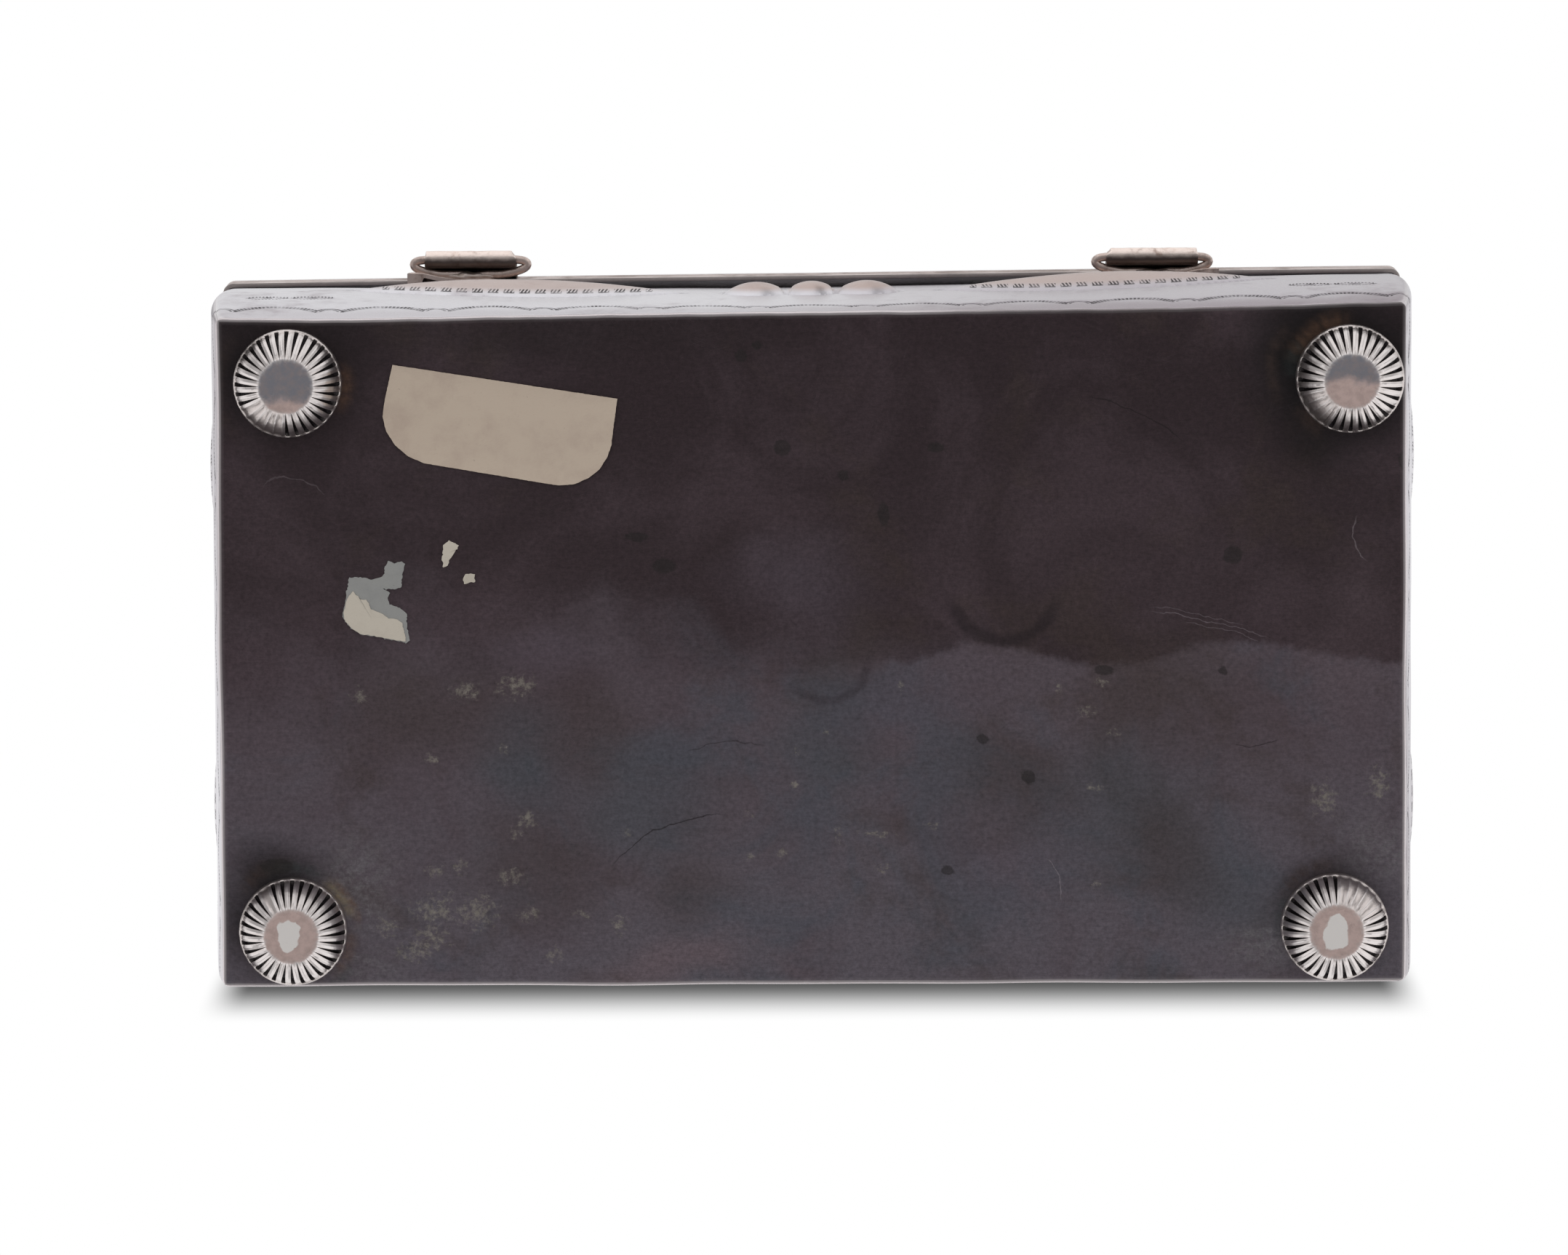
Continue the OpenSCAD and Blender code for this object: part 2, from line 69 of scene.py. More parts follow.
# %% [markdown]
# ## Sizes
# A silversmith works in millimetres, so the shapes here are worked out in millimetres and turned into
# metres when a mesh is made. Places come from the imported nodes, so nothing can drift away from them.

# %% Sizes in millimetres
MM = 0.001


def box_mm(node):
    """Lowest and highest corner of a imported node, in millimetres."""
    low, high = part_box(node)
    return np.array(low) / MM, np.array(high) / MM


plate_low, plate_high = box_mm("bottom_plate")
BOX_W, BOX_D = (plate_high - plate_low)[:2]
MIDDLE_Y = (plate_high + plate_low)[1] / 2
FLOOR_Z = plate_high[2]
WALL_H = box_mm("back_wall")[1][2] - FLOOR_Z
SHEET = 0.9  # thickness of a wall
SWELL = 1.6  # how far the walls swell out half way up
RELIEF_Z = 20.5  # height of the leaves and domes above the bottom plate
lid_low, lid_high = box_mm("lid_skirt")
LID_OUT = (lid_high[0] - lid_low[0] - BOX_W) / 2
print(f"plate {BOX_W:.1f} x {BOX_D:.1f}, walls {WALL_H:.1f} high, lid stands out {LID_OUT:.2f} mm")

# %% [markdown]
# ## Meshes
# Every sheet of this box is a grid of points: one grid for its outer face and one for its inner face,
# closed round the edges. Grids are quick to write with arrays, and a stamp or a dent is then just a small
# change of height. The corners of the real box aren't quite square, so one gentle skew bends every
# sheet of the body and the lid the same way, and they still fit together.


# %% Unevenness
BACK_SKEW, LEFT_SKEW = 0.0062, 0.0042


def ripple(s, wavelength, amount, seed):
    """A gentle unevenness along a length, made of four sines with a fixed seed."""
    rng = np.random.default_rng(seed)
    waves = sum(np.sin(2 * np.pi * s / (wavelength * (0.5 + 0.35 * k)) + rng.uniform(0, 7)) for k in range(4))
    return amount * waves / 2.5


def dents(x, y, wavelength, amount, seed):
    """Hammer dents over a surface, made of plane waves in several directions."""
    rng = np.random.default_rng(seed)
    total = 0
    for _ in range(7):
        turn, phase = rng.uniform(0, math.pi), rng.uniform(0, 7)
        step = wavelength * rng.uniform(0.6, 1.6)
        total = total + np.sin(2 * np.pi * (x * math.cos(turn) + y * math.sin(turn)) / step + phase)
    return amount * total / 3


def smooth(value, low, high):
    """0 below low, 1 above high, and a soft step between them."""
    t = np.clip((value - low) / (high - low), 0, 1)
    return t * t * (3 - 2 * t)


def hand_skew(points):
    """The back edge of the box runs a little out of square with its front edge."""
    points = np.array(points, float)
    share = np.clip((points[..., 1] - plate_low[1]) / BOX_D, 0, 1.05)
    points[..., 1] -= (BACK_SKEW * points[..., 0] + LEFT_SKEW * np.minimum(points[..., 0], 0)) * share
    return points


# %% Grids
def grid_faces(rows, columns, start=0, closed=False, flip=False):
    """Quads over a grid of points. A closed grid joins its last column to its first."""
    r, c = np.meshgrid(np.arange(rows - 1), np.arange(columns if closed else columns - 1), indexing="ij")
    a, b = start + r * columns + c, start + r * columns + (c + 1) % columns
    quads = [a, a + columns, b + columns, b] if flip else [a, b, b + columns, a + columns]
    return np.stack(quads, -1).reshape(-1, 4).tolist()


def two_faced(outer, inner):
    """Points and faces of a sheet, from the grids of its outer and inner face. They share their columns."""
    rows, columns = outer.shape[:2]
    inner_rows = inner.shape[0]
    start = rows * columns
    faces = grid_faces(rows, columns, flip=True) + grid_faces(inner_rows, columns, start)
    top, inner_top = (rows - 1) * columns, start + (inner_rows - 1) * columns
    for j in range(columns - 1):
        faces.append([inner_top + j, inner_top + j + 1, top + j + 1, top + j])
        faces.append([j, j + 1, start + j + 1, start + j])
    for j, order in ((0, -1), (columns - 1, 1)):
        rim = [i * columns + j for i in range(rows)]
        rim += [start + i * columns + j for i in range(inner_rows - 1, -1, -1)]
        faces.append(rim[::order])
    return np.concatenate([outer.reshape(-1, 3), inner.reshape(-1, 3)]), faces


# %% From points to a finished piece
def signed_volume(mesh):
    """Positive when the faces of a closed mesh point outwards."""
    mesh.calc_loop_triangles()
    corners = np.zeros(3 * len(mesh.loop_triangles), int)
    mesh.loop_triangles.foreach_get("vertices", corners)
    co = np.zeros(3 * len(mesh.vertices))
    mesh.vertices.foreach_get("co", co)
    a, b, c = np.moveaxis(co.reshape(-1, 3)[corners.reshape(-1, 3)], 1, 0)
    return float((a * np.cross(b, c)).sum() / 6)


def write_bend(mesh):
    """Writes how strongly the surface bends at each point, per millimetre: ridges above zero, hollows below."""
    count = len(mesh.vertices)
    co, normal, pairs = np.zeros(3 * count), np.zeros(3 * count), np.zeros(2 * len(mesh.edges), int)
    mesh.vertices.foreach_get("co", co)
    mesh.vertices.foreach_get("normal", normal)
    mesh.edges.foreach_get("vertices", pairs)
    co, normal, (a, b) = co.reshape(-1, 3) / MM, normal.reshape(-1, 3), pairs.reshape(-1, 2).T
    along = co[b] - co[a]
    length = np.maximum(np.linalg.norm(along, axis=1), 0.02)
    turned = ((normal[b] - normal[a]) * along).sum(1) / length ** 2
    share = np.maximum(np.bincount(a, minlength=count) + np.bincount(b, minlength=count), 1)
    bend = (np.bincount(a, turned, count) + np.bincount(b, turned, count)) / share
    for _ in range(2):
        near = (np.bincount(a, bend[b], count) + np.bincount(b, bend[a], count)) / share
        bend = 0.5 * bend + 0.5 * near
    mesh.attributes.new("bend", "FLOAT", "POINT").data.foreach_set("value", bend.astype(np.float32))


def finish_piece(name, mesh, material, body, replaces=(), crease=32):
    """Smooths a mesh, turns its faces outwards, and declares what it is part of."""
    mesh.name = name
    mesh.shade_smooth()
    mesh.set_sharp_from_angle(angle=math.radians(crease))
    if signed_volume(mesh) < 0:
        mesh.flip_normals()
    write_bend(mesh)
    mesh.materials.clear()
    mesh.materials.append(material)
    piece = bpy.data.objects.new(name, mesh)
    bpy.context.scene.collection.objects.link(piece)
    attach(piece, body)
    if replaces:
        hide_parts(*replaces)
    print(f"{name}: {len(mesh.polygons)} faces, {signed_volume(mesh) * 1e9:.1f} mm3, rides on {body}")


def make_piece(name, points, faces, material, body, slot, replaces=(), uv=None, marks=None, crease=32):
    """Makes a mesh from points in millimetres, gives it a material and hangs it on its body."""
    mesh = bpy.data.meshes.new(name)
    mesh.from_pydata((np.asarray(points).reshape(-1, 3) * MM).tolist(), [], faces)
    if uv is not None:
        corners = np.zeros(len(mesh.loops), int)
        mesh.loops.foreach_get("vertex_index", corners)
        layer = mesh.uv_layers.new(name="millimetres")
        layer.data.foreach_set("uv", np.asarray(uv, np.float32).reshape(-1, 2)[corners].ravel())
    for label, values in (marks or {}).items():
        is_colour = np.ndim(values) == 2
        attribute = mesh.attributes.new(label, "FLOAT_COLOR" if is_colour else "FLOAT", "POINT")
        attribute.data.foreach_set("color" if is_colour else "value", np.asarray(values, np.float32).ravel())
    finish_piece(name, mesh, material, body, replaces, crease)


# %% [markdown]
# ## Camera
# The box was photographed from below, standing on its front wall, through a long lens from about a
# metre away. The camera's place and turn were found from the corners of the bottom plate, the feet and
# the lid, so the perspective on the walls comes out right by itself.

# %% Camera
camera_data = bpy.data.cameras.new("camera")
camera_data.sensor_width = 36
camera_data.lens = 219.33
camera_data.clip_end = 20
camera = bpy.data.objects.new("camera", camera_data)
camera.location = (-0.0021, 0.1164, -1.0845)
camera.rotation_euler = (3.03653, -0.00439, -3.13661)
bpy.context.scene.collection.objects.link(camera)
bpy.context.scene.camera = camera
print("camera at", tuple(camera.location))

# %% [markdown]
# ## Words for wiring nodes
# Node trees get long. This small class names the few steps that every material repeats: a sum, a mix of
# two colours, a soft step and a noise.


# %% Node tools
class Wiring:
    """Adds nodes to a tree and links them."""

    def __init__(self, tree):
        self.tree = tree

    def add(self, kind, values=None, **settings):
        """A new node. Each value is a number for one of its sockets, or the socket that feeds it."""
        node = self.tree.nodes.new(kind)
        for key, value in settings.items():
            setattr(node, key, value)
        for key, value in (values or {}).items():
            if isinstance(value, bpy.types.NodeSocket):
                self.tree.links.new(value, node.inputs[key])
            else:
                node.inputs[key].default_value = value
        return node

    def calc(self, operation, a, b=0.0, c=0.0):
        return self.add("ShaderNodeMath", {0: a, 1: b, 2: c}, operation=operation).outputs[0]

    def step(self, value, low, high):
        """0 at low, 1 at high, and a soft step between them. low may be the larger one."""
        return self.add("ShaderNodeMapRange", {"Value": value, "From Min": low, "From Max": high},
                        interpolation_type="SMOOTHSTEP").outputs[0]

    def mix(self, share, a, b, how="MIX"):
        node = self.add("ShaderNodeMix", {0: share, 6: a, 7: b}, data_type="RGBA", blend_type=how)
        return node.outputs[2]

    def noise(self, vector, scale, detail=3.0, roughness=0.55, distortion=0.0):
        return self.add("ShaderNodeTexNoise", {
            "Vector": vector, "Scale": scale, "Detail": detail, "Roughness": roughness,
            "Distortion": distortion}).outputs[0]

    def group(self, tree, values):
        return self.add("ShaderNodeGroup", values, node_tree=tree).outputs

    def place(self, vector, shift=(0, 0, 0), turn=(0, 0, 0), scale=(1, 1, 1)):
        return self.add("ShaderNodeMapping", {
            "Vector": vector, "Location": shift, "Rotation": turn, "Scale": scale}).outputs[0]

    def millimetres(self):
        """Where a point is on the box, in millimetres."""
        return self.place(self.add("ShaderNodeTexCoord").outputs["Object"], scale=(1 / MM,) * 3)

    def apart(self, vector):
        return self.add("ShaderNodeSeparateXYZ", {0: vector}).outputs

    def fold(self, operation, values):
        """One sum, taken over all the values in turn."""
        result = values[0]
        for value in values[1:]:
            result = self.calc(operation, result, value)
        return result

    def largest(self, *values):
        return self.fold("MAXIMUM", values)

    def product(self, *values):
        return self.fold("MULTIPLY", values)

    def painted(self, label):
        """A mark that was written on the points of a mesh."""
        return self.add("ShaderNodeAttribute", attribute_name=label).outputs["Fac"]


def srgb(red, green, blue):
    """A colour as a screen shows it, from 0 to 255, turned into the linear light that shaders use."""
    linear = (((c / 255 + 0.055) / 1.055) ** 2.4 if c > 10 else c / 3295 for c in (red, green, blue))
    return (*linear, 1.0)


def new_material(name):
    """An empty Principled material, its wiring and its shader."""
    material = bpy.data.materials.new(name)
    material.use_nodes = True
    wiring = Wiring(material.node_tree)
    print("material:", name)
    return material, wiring, material.node_tree.nodes["Principled BSDF"]


def wire(w, shader, **sockets):
    """Links or sets the sockets of a shader by name, with _ for a space."""
    for key, value in sockets.items():
        socket = shader.inputs[key.replace("_", " ")]
        if isinstance(value, bpy.types.NodeSocket):
            w.tree.links.new(value, socket)
        else:
            socket.default_value = value


# %% [markdown]
# ## Studio
# The background is plain white. It comes from the world, seen by the camera and in reflections, and not
# from stronger lamps. Polished metal shows what surrounds it, so the mirrored world is darker behind the
# photographer and overhead, with a few paler and darker places round the room, which give the silver its
# greys. The lamps light the box but aren't mirrored in it, because a lamp on top of a white room would burn
# the metal out. The floor is the white sheet that the box stands on. It only shows from its upper side and
# fades away round the box, so it never hides another view. The box's soft shadow is painted on it: the
# floor's white is dimmed round the box by where a point lies, and no lamp casts it.

# %% World
ROOM, SOFT_LIGHT = 1.1, 0.6  # how bright the room is in the metal, and on everything dull
BEHIND, CARDS, CEILING = 0.73, 0.62, 0.08  # how dark it is behind the camera, at its dark cards and overhead
# dark strips overhead: middle, reach and darkness
STRIPS = [(0.03, 0.07, 0.5), (0.19, 0.035, 0.35), (0.36, 0.05, 0.35), (-0.4, 0.12, 0.4)]
bpy.context.scene.view_settings.view_transform = "Standard"
world = bpy.data.worlds.new("studio")
bpy.context.scene.world = world
world.use_nodes = True
w = Wiring(world.node_tree)
w.tree.nodes.clear()
ray = w.add("ShaderNodeLightPath").outputs
direction = w.apart(w.add("ShaderNodeTexCoord").outputs["Generated"])
behind = w.product(w.step(direction[2], -0.25, -0.9), BEHIND)
bent_y = w.calc("ADD", direction[1], w.product(w.calc("SINE", w.product(direction[0], 9.0)), 0.05))
strips = [w.product(w.step(w.calc("ABSOLUTE", w.calc("SUBTRACT", bent_y, middle)), reach, reach * 0.5), dark)
          for middle, reach, dark in STRIPS]
overhead = w.product(w.step(direction[2], 0.45, 0.8), w.calc("ADD", CEILING, w.largest(*strips)))
cards = w.calc("ADD", w.product(direction[0], 7.0), w.product(direction[1], 4.0))
cards = w.step(w.calc("SINE", cards), 0.1, 0.9)
cards = w.product(cards, w.step(w.calc("ABSOLUTE", direction[2]), 0.8, 0.3), CARDS)
room = w.product(w.calc("SUBTRACT", 1.0, w.largest(behind, overhead, cards)), ROOM)
mirrored = w.calc("MAXIMUM", ray["Is Glossy Ray"], ray["Is Transmission Ray"])
strength = w.calc("ADD", w.product(mirrored, room), ray["Is Camera Ray"])
soft = w.product(w.calc("SUBTRACT", 1.0, w.calc("MAXIMUM", mirrored, ray["Is Camera Ray"])), SOFT_LIGHT)
sky = w.add("ShaderNodeBackground", {"Color": (1, 1, 1, 1), "Strength": w.calc("ADD", strength, soft)})
w.add("ShaderNodeOutputWorld", {"Surface": sky.outputs[0]})
print("world wired, with", len(STRIPS), "dark strips overhead")

# %% Floor
FLOOR_Y = cad_low[1] / MM - 0.05
FLOOR_REACH = 420.0
FADES = (400, 180)  # the floor has faded away at the first distance and is whole at the second
# The box's shadow is painted on the floor, not cast: how dark it is next to the box, and how far out it fades
SHADOW = 0.9
SHADOW_SIDES, SHADOW_ENDS = (31.5, -0.5), (71.5, 66.0)  # gone at the first distance, full at the second
floor_mesh = bpy.data.meshes.new("floor")
floor_mesh.from_pydata([(x * FLOOR_REACH * MM, FLOOR_Y * MM, z * FLOOR_REACH * MM)
                        for x, z in ((-1, -1), (-1, 1), (1, 1), (1, -1))], [], [(0, 1, 2, 3)])
floor = bpy.data.objects.new("floor", floor_mesh)
bpy.context.scene.collection.objects.link(floor)
floor_paper, w, shader = new_material("floor_paper")
w.tree.nodes.remove(shader)
mm = w.millimetres()
reach = w.add("ShaderNodeVectorMath", {0: mm, 1: (0, FLOOR_Y, 20)}, operation="DISTANCE").outputs["Value"]
front_side = w.calc("SUBTRACT", 1.0, w.add("ShaderNodeNewGeometry").outputs["Backfacing"])
shown = w.product(w.step(reach, *FADES), front_side, w.add("ShaderNodeLightPath").outputs["Is Camera Ray"])
across, _, deep = w.apart(mm)
# painted shadow: the floor's white is dimmed by where a point lies round the box
away = w.calc("ABSOLUTE", w.calc("SUBTRACT", deep, (plate_low[2] + lid_high[2]) / 2))
shade = w.product(w.step(away, *SHADOW_SIDES), w.step(w.calc("ABSOLUTE", across), *SHADOW_ENDS), SHADOW)
white = w.add("ShaderNodeEmission", {
    "Color": (1, 1, 1, 1), "Strength": w.calc("SUBTRACT", 1.0, shade)}).outputs[0]
clear = w.add("ShaderNodeBsdfTransparent").outputs[0]
end = w.tree.nodes["Material Output"]
w.tree.links.new(w.add("ShaderNodeMixShader", {0: shown, 1: clear, 2: white}).outputs[0], end.inputs[0])
floor_mesh.materials.append(floor_paper)
print(f"floor at y {FLOOR_Y:.2f} mm, {2 * FLOOR_REACH:.0f} mm wide")


# %% Lamps
def softbox(name, place, size, power):
    """A square lamp that points at the middle of the box and isn't mirrored in the metal."""
    light = bpy.data.lights.new(name, "AREA")
    light.size = size
    light.energy = power
    lamp = bpy.data.objects.new(name, light)
    lamp.location = place
    lamp.visible_glossy = False
    target = np.array((0, 0, 0.02)) - np.array(place)
    lamp.rotation_euler = Vector(target).to_track_quat("-Z", "Y").to_euler()
    bpy.context.scene.collection.objects.link(lamp)
    print(f"{name}: {size} m wide, {power} W")


softbox("overhead_softbox", (0.0, 0.75, -0.25), 1.15, 3.1)
softbox("left_softbox", (0.75, 0.25, -0.55), 0.85, 1.9)
softbox("right_softbox", (-0.75, 0.25, -0.55), 0.85, 1.9)
softbox("lid_softbox", (0.0, -0.75, 0.6), 1.1, 3.0)

# %% [markdown]
# ## Shared effects
# Old silver is never one colour. Tarnish gathers in clouds, handling leaves fine scratches, raised edges
# are rubbed bright, and black stays in every stamp. Each effect is a node group, built once, and each
# material sets its own strength.


# %% Tools for shader groups
def shader_group(name, inputs, outputs):
    """A new shader group with named sockets, its wiring, its inputs and its output node."""
    tree = bpy.data.node_groups.new(name, "ShaderNodeTree")
    for label, value in inputs.items():
        kind = "NodeSocketVector" if value is None else "NodeSocketFloat"
        socket = tree.interface.new_socket(label, in_out="INPUT", socket_type=kind)
        if value is not None:
            socket.default_value = value
    for label in outputs:
        tree.interface.new_socket(label, in_out="OUTPUT", socket_type="NodeSocketFloat")
    w = Wiring(tree)
    return tree, w, w.add("NodeGroupInput").outputs, w.add("NodeGroupOutput")


def put(w, node, label, value):
    """Links a value to one of a group's outputs."""
    w.tree.links.new(value, node.inputs[label])


# %% Tarnish clouds
TARNISH, w, given, out = shader_group("tarnish clouds", {
    "Vector": None, "Scale": 0.08, "Amount": 0.5}, ["Mask"])
wide = w.noise(given["Vector"], given["Scale"], 5.0, 0.6, 0.6)
close = w.noise(given["Vector"], w.product(given["Scale"], 6.0), 4.0, 0.65)
level = w.calc("ADD", w.product(wide, 0.7), w.product(close, 0.3))
edge = w.calc("SUBTRACT", 0.95, w.product(given["Amount"], 0.9))
put(w, out, "Mask", w.step(level, edge, w.calc("ADD", edge, 0.22)))
print("group:", TARNISH.name)

# %% Fine scratches
SCRATCHES, w, given, out = shader_group("fine scratches", {
    "Vector": None, "Size": 1.0, "Amount": 0.5}, ["Mask"])
found = []
for k, turn in enumerate((0.35, 1.25, 2.1, 2.75)):
    sized = w.add("ShaderNodeVectorMath", {0: given["Vector"], 3: given["Size"]}, operation="SCALE").outputs[0]
    lined = w.place(sized, turn=(0, 0, turn))
    lined = w.place(lined, shift=(17.0 * k, 5.0 * k, 3.0 * k), scale=(0.05, 2.4, 2.4))
    breaks = w.noise(w.place(sized, shift=(9.0 * k, 0, 0)), 0.16, 1.0)
    line = w.step(w.noise(lined, 1.0, 1.0), 0.66, 0.74)
    found.append(w.product(line, w.step(breaks, 0.48, 0.6)))
put(w, out, "Mask", w.product(w.largest(*found), given["Amount"]))
print("group:", SCRATCHES.name)

# %% Rubbed edges
WEAR, w, given, out = shader_group("rubbed edges", {"Vector": None, "Amount": 0.5}, ["Bright", "Dark"])
bend = w.painted("bend")
broken = w.product(w.noise(given["Vector"], 0.9, 4.0), 0.5)
put(w, out, "Bright", w.product(w.step(w.calc("SUBTRACT", bend, broken), 0.1, 1.0), given["Amount"]))
put(w, out, "Dark", w.product(w.step(bend, -0.3, -1.4), given["Amount"]))
print("group:", WEAR.name)

# %% [markdown]
# ## Stamp patterns
# The border was struck with a few steel punches: a long curved one with a fringe of rays, and a small
# half-moon that covers each join. The same punches go round all four walls and the lid. Each pattern is a
# group that reads how far along and how high up the sheet a point is, in millimetres. The deeper lines are
# also pressed into the meshes further on, from the same sizes.

# %% Stamp sizes
BORDER_STEP = 12.3  # from one long punch to the next
BORDER_TOP = 5.3  # its highest point above the sheet's edge
ARC_R, ARC_REACH = 6.2, 4.75  # its radius and its reach to each side
MOON_Z, MOON_RADII = 3.3, (1.55, 1.05)  # height and two lines of the half-moon
LINE = 0.13  # half the width of a line
RAY_STEP, TOOTH_STEP, LASH_STEP = 0.42, 0.42, 0.4  # fringes of border, comb and eye
COMB_STEP, COMB_REACH = 1.83, 15.8
EYE_ARC, EYE_SIDE = 4.46, 3.76  # radius of an eye's two arcs, and how far their middles are from its own
PATINA = srgb(38, 34, 36)
print(f"border punch every {BORDER_STEP} mm, its arc {2 * ARC_REACH} mm wide")

# %% Border punches
BORDER, w, given, out = shader_group("stamped border", {"Along": 0.0, "Up": 0.0}, ["Mask"])
u = w.calc("WRAP", given["Along"], BORDER_STEP / 2, -BORDER_STEP / 2)
v = w.calc("SUBTRACT", given["Up"], BORDER_TOP - ARC_R)
far = w.calc("SQRT", w.calc("ADD", w.product(u, u), w.product(v, v)))
off = w.calc("SUBTRACT", far, ARC_R)
inside = w.product(w.step(w.calc("ABSOLUTE", u), ARC_REACH + 0.1, ARC_REACH - 0.1), w.step(v, 0.0, 1.0))
line = w.step(w.calc("ABSOLUTE", off), LINE + 0.06, LINE - 0.06)
turn = w.product(w.calc("ARCTAN2", u, v), ARC_R * 2 * math.pi / RAY_STEP)
rays = w.product(w.step(w.calc("SINE", turn), -0.55, 0.1), w.step(off, 0.1, 0.2), w.step(off, 0.85, 0.7))
grime = w.product(w.step(off, -0.15, 0.1), w.step(off, 1.1, 0.6), 0.4)
long_arc = w.product(w.largest(line, rays, grime), inside)
u = w.calc("WRAP", w.calc("ADD", given["Along"], BORDER_STEP / 2), BORDER_STEP / 2, -BORDER_STEP / 2)
v = w.calc("SUBTRACT", given["Up"], MOON_Z)
far = w.calc("SQRT", w.calc("ADD", w.product(u, u), w.product(v, v)))
moons = [w.step(w.calc("ABSOLUTE", w.calc("SUBTRACT", far, r)), 0.17, 0.06) for r in MOON_RADII]
moon = w.product(w.largest(*moons), w.step(v, -0.15, 0.1))
put(w, out, "Mask", w.largest(long_arc, moon))
print("group:", BORDER.name)

# %% Comb punch on the leaves
COMBS, w, given, out = shader_group("comb stamps on a leaf", {
    "Along": 0.0, "Up": 0.0, "Leaf Place": 34.2, "Leaf Arc": 34.0, "Leaf Height": 12.0}, ["Mask"])
u = w.calc("SUBTRACT", w.calc("ABSOLUTE", given["Along"]), given["Leaf Place"])
v = w.calc("ABSOLUTE", w.calc("SUBTRACT", given["Up"], RELIEF_Z))
side = w.calc("SUBTRACT", given["Leaf Arc"], w.product(given["Leaf Height"], 0.5))
squares = w.calc("SUBTRACT", w.product(given["Leaf Arc"], given["Leaf Arc"]), w.product(u, u))
arc = w.calc("SQRT", w.calc("MAXIMUM", squares, 0.0))
depth = w.calc("SUBTRACT", w.calc("SUBTRACT", arc, side), v)
cell = w.calc("FRACT", w.calc("DIVIDE", u, COMB_STEP))
comb = w.product(w.step(cell, 0.12, 0.18), w.step(cell, 0.84, 0.78))
lean = w.calc("ADD", u, w.product(depth, 0.25))
teeth = w.step(w.calc("SINE", w.product(lean, 2 * math.pi / TOOTH_STEP)), -0.3, 0.3)
spine = w.product(w.step(depth, 0.7, 0.85), w.step(depth, 1.12, 0.98))
rows = w.product(w.largest(spine, w.product(teeth, w.step(depth, 0.9, 1.0), w.step(depth, 2.15, 2.0))), comb)
put(w, out, "Mask", w.product(rows, w.step(w.calc("ABSOLUTE", u), COMB_REACH, COMB_REACH - 0.2)))
print("group:", COMBS.name)

# %% Eye punch near the corners
EYES, w, given, out = shader_group("fringed eye stamp", {
    "Along": 0.0, "Up": 0.0, "Place": 58.0, "Height": 12.0}, ["Mask"])
u = w.calc("SUBTRACT", w.calc("ABSOLUTE", given["Along"]), given["Place"])
v = w.calc("ABSOLUTE", w.calc("SUBTRACT", given["Up"], given["Height"]))
lid = w.calc("ADD", v, EYE_SIDE)
off = w.calc("SUBTRACT", w.calc("SQRT", w.calc("ADD", w.product(u, u), w.product(lid, lid))), EYE_ARC)
line = w.step(w.calc("ABSOLUTE", off), 0.15, 0.06)
lashes = w.product(w.step(w.calc("SINE", w.product(u, 2 * math.pi / LASH_STEP)), -0.1, 0.5),
                   w.step(off, 0.05, 0.15), w.step(off, 0.6, 0.45), w.step(w.calc("ABSOLUTE", u), 2.5, 2.3))
pupil = w.calc("ADD", w.product(w.calc("ABSOLUTE", u), 1.1), w.product(v, 2.6))
put(w, out, "Mask", w.largest(line, lashes, w.step(pupil, 1.1, 0.9)))
print("group:", EYES.name)

# %% [markdown]
# ## Silver
# One recipe makes all the silvers: a clean colour, a tarnished one that gathers in clouds, scratches,
# edges rubbed bright, and black left in hollows and stamps. Real silver is a plain metal shader. What
# makes it look old is that colour, roughness and height all change together.


# %% Silver recipe
RUBBED, SCRATCHED = srgb(236, 232, 232), srgb(240, 236, 236)


def silver(name, clean, tarnished, amount, roughness, stamps=None, cloud=0.1, wear=0.5, hollow=0.5,
           grain=0.02, band=None, last=None):
    """A silver material. stamps, band and last are functions that add marks of their own: stamps gives a mask,
    band a colour under the wear, and last a colour over it and how metallic it is."""
    material, w, shader = new_material(name)
    mm = w.millimetres()
    tarnish = w.group(TARNISH, {"Vector": mm, "Scale": cloud, "Amount": amount})["Mask"]
    lines = w.group(SCRATCHES, {"Vector": mm, "Size": 2.0, "Amount": 0.6})["Mask"]
    rubbed = w.group(WEAR, {"Vector": mm, "Amount": 1.0})
    colour = w.mix(w.product(tarnish, 0.85), clean, tarnished)
    if band:
        colour = band(w, mm, colour)
    speckle = w.noise(mm, 3.0, 3.0, 0.7)
    colour = w.mix(w.product(w.step(speckle, 0.6, 0.75), 0.22), colour, tarnished)
    colour = w.mix(w.product(rubbed["Dark"], hollow), colour, PATINA)
    colour = w.mix(w.product(rubbed["Bright"], wear), colour, RUBBED)
    colour = w.mix(w.product(lines, 0.12), colour, SCRATCHED)
    height = w.calc("ADD", w.product(speckle, grain), w.product(lines, -0.006))
    dull = w.calc("ADD", w.calc("ADD", roughness, w.product(tarnish, 0.16)), w.product(speckle, 0.1))
    if stamps:
        struck = stamps(w, mm)
        colour = w.mix(w.product(struck, 0.9), colour, PATINA)
        height = w.calc("SUBTRACT", height, w.product(struck, 0.12))
        dull = w.calc("ADD", dull, w.product(struck, 0.25))
    metal = 1.0
    if last:
        colour, metal = last(w, mm, colour)
    bump = w.add("ShaderNodeBump", {"Strength": 1.0, "Distance": MM, "Height": height}).outputs[0]
    wire(w, shader, Base_Color=colour, Metallic=metal, Roughness=dull, Normal=bump)
    return material


# %% Marks of the walls
def sheet_place(w):
    """How far along its sheet and how high up it a point is, from the UV map in millimetres."""
    return w.apart(w.add("ShaderNodeUVMap", uv_map="millimetres").outputs[0])


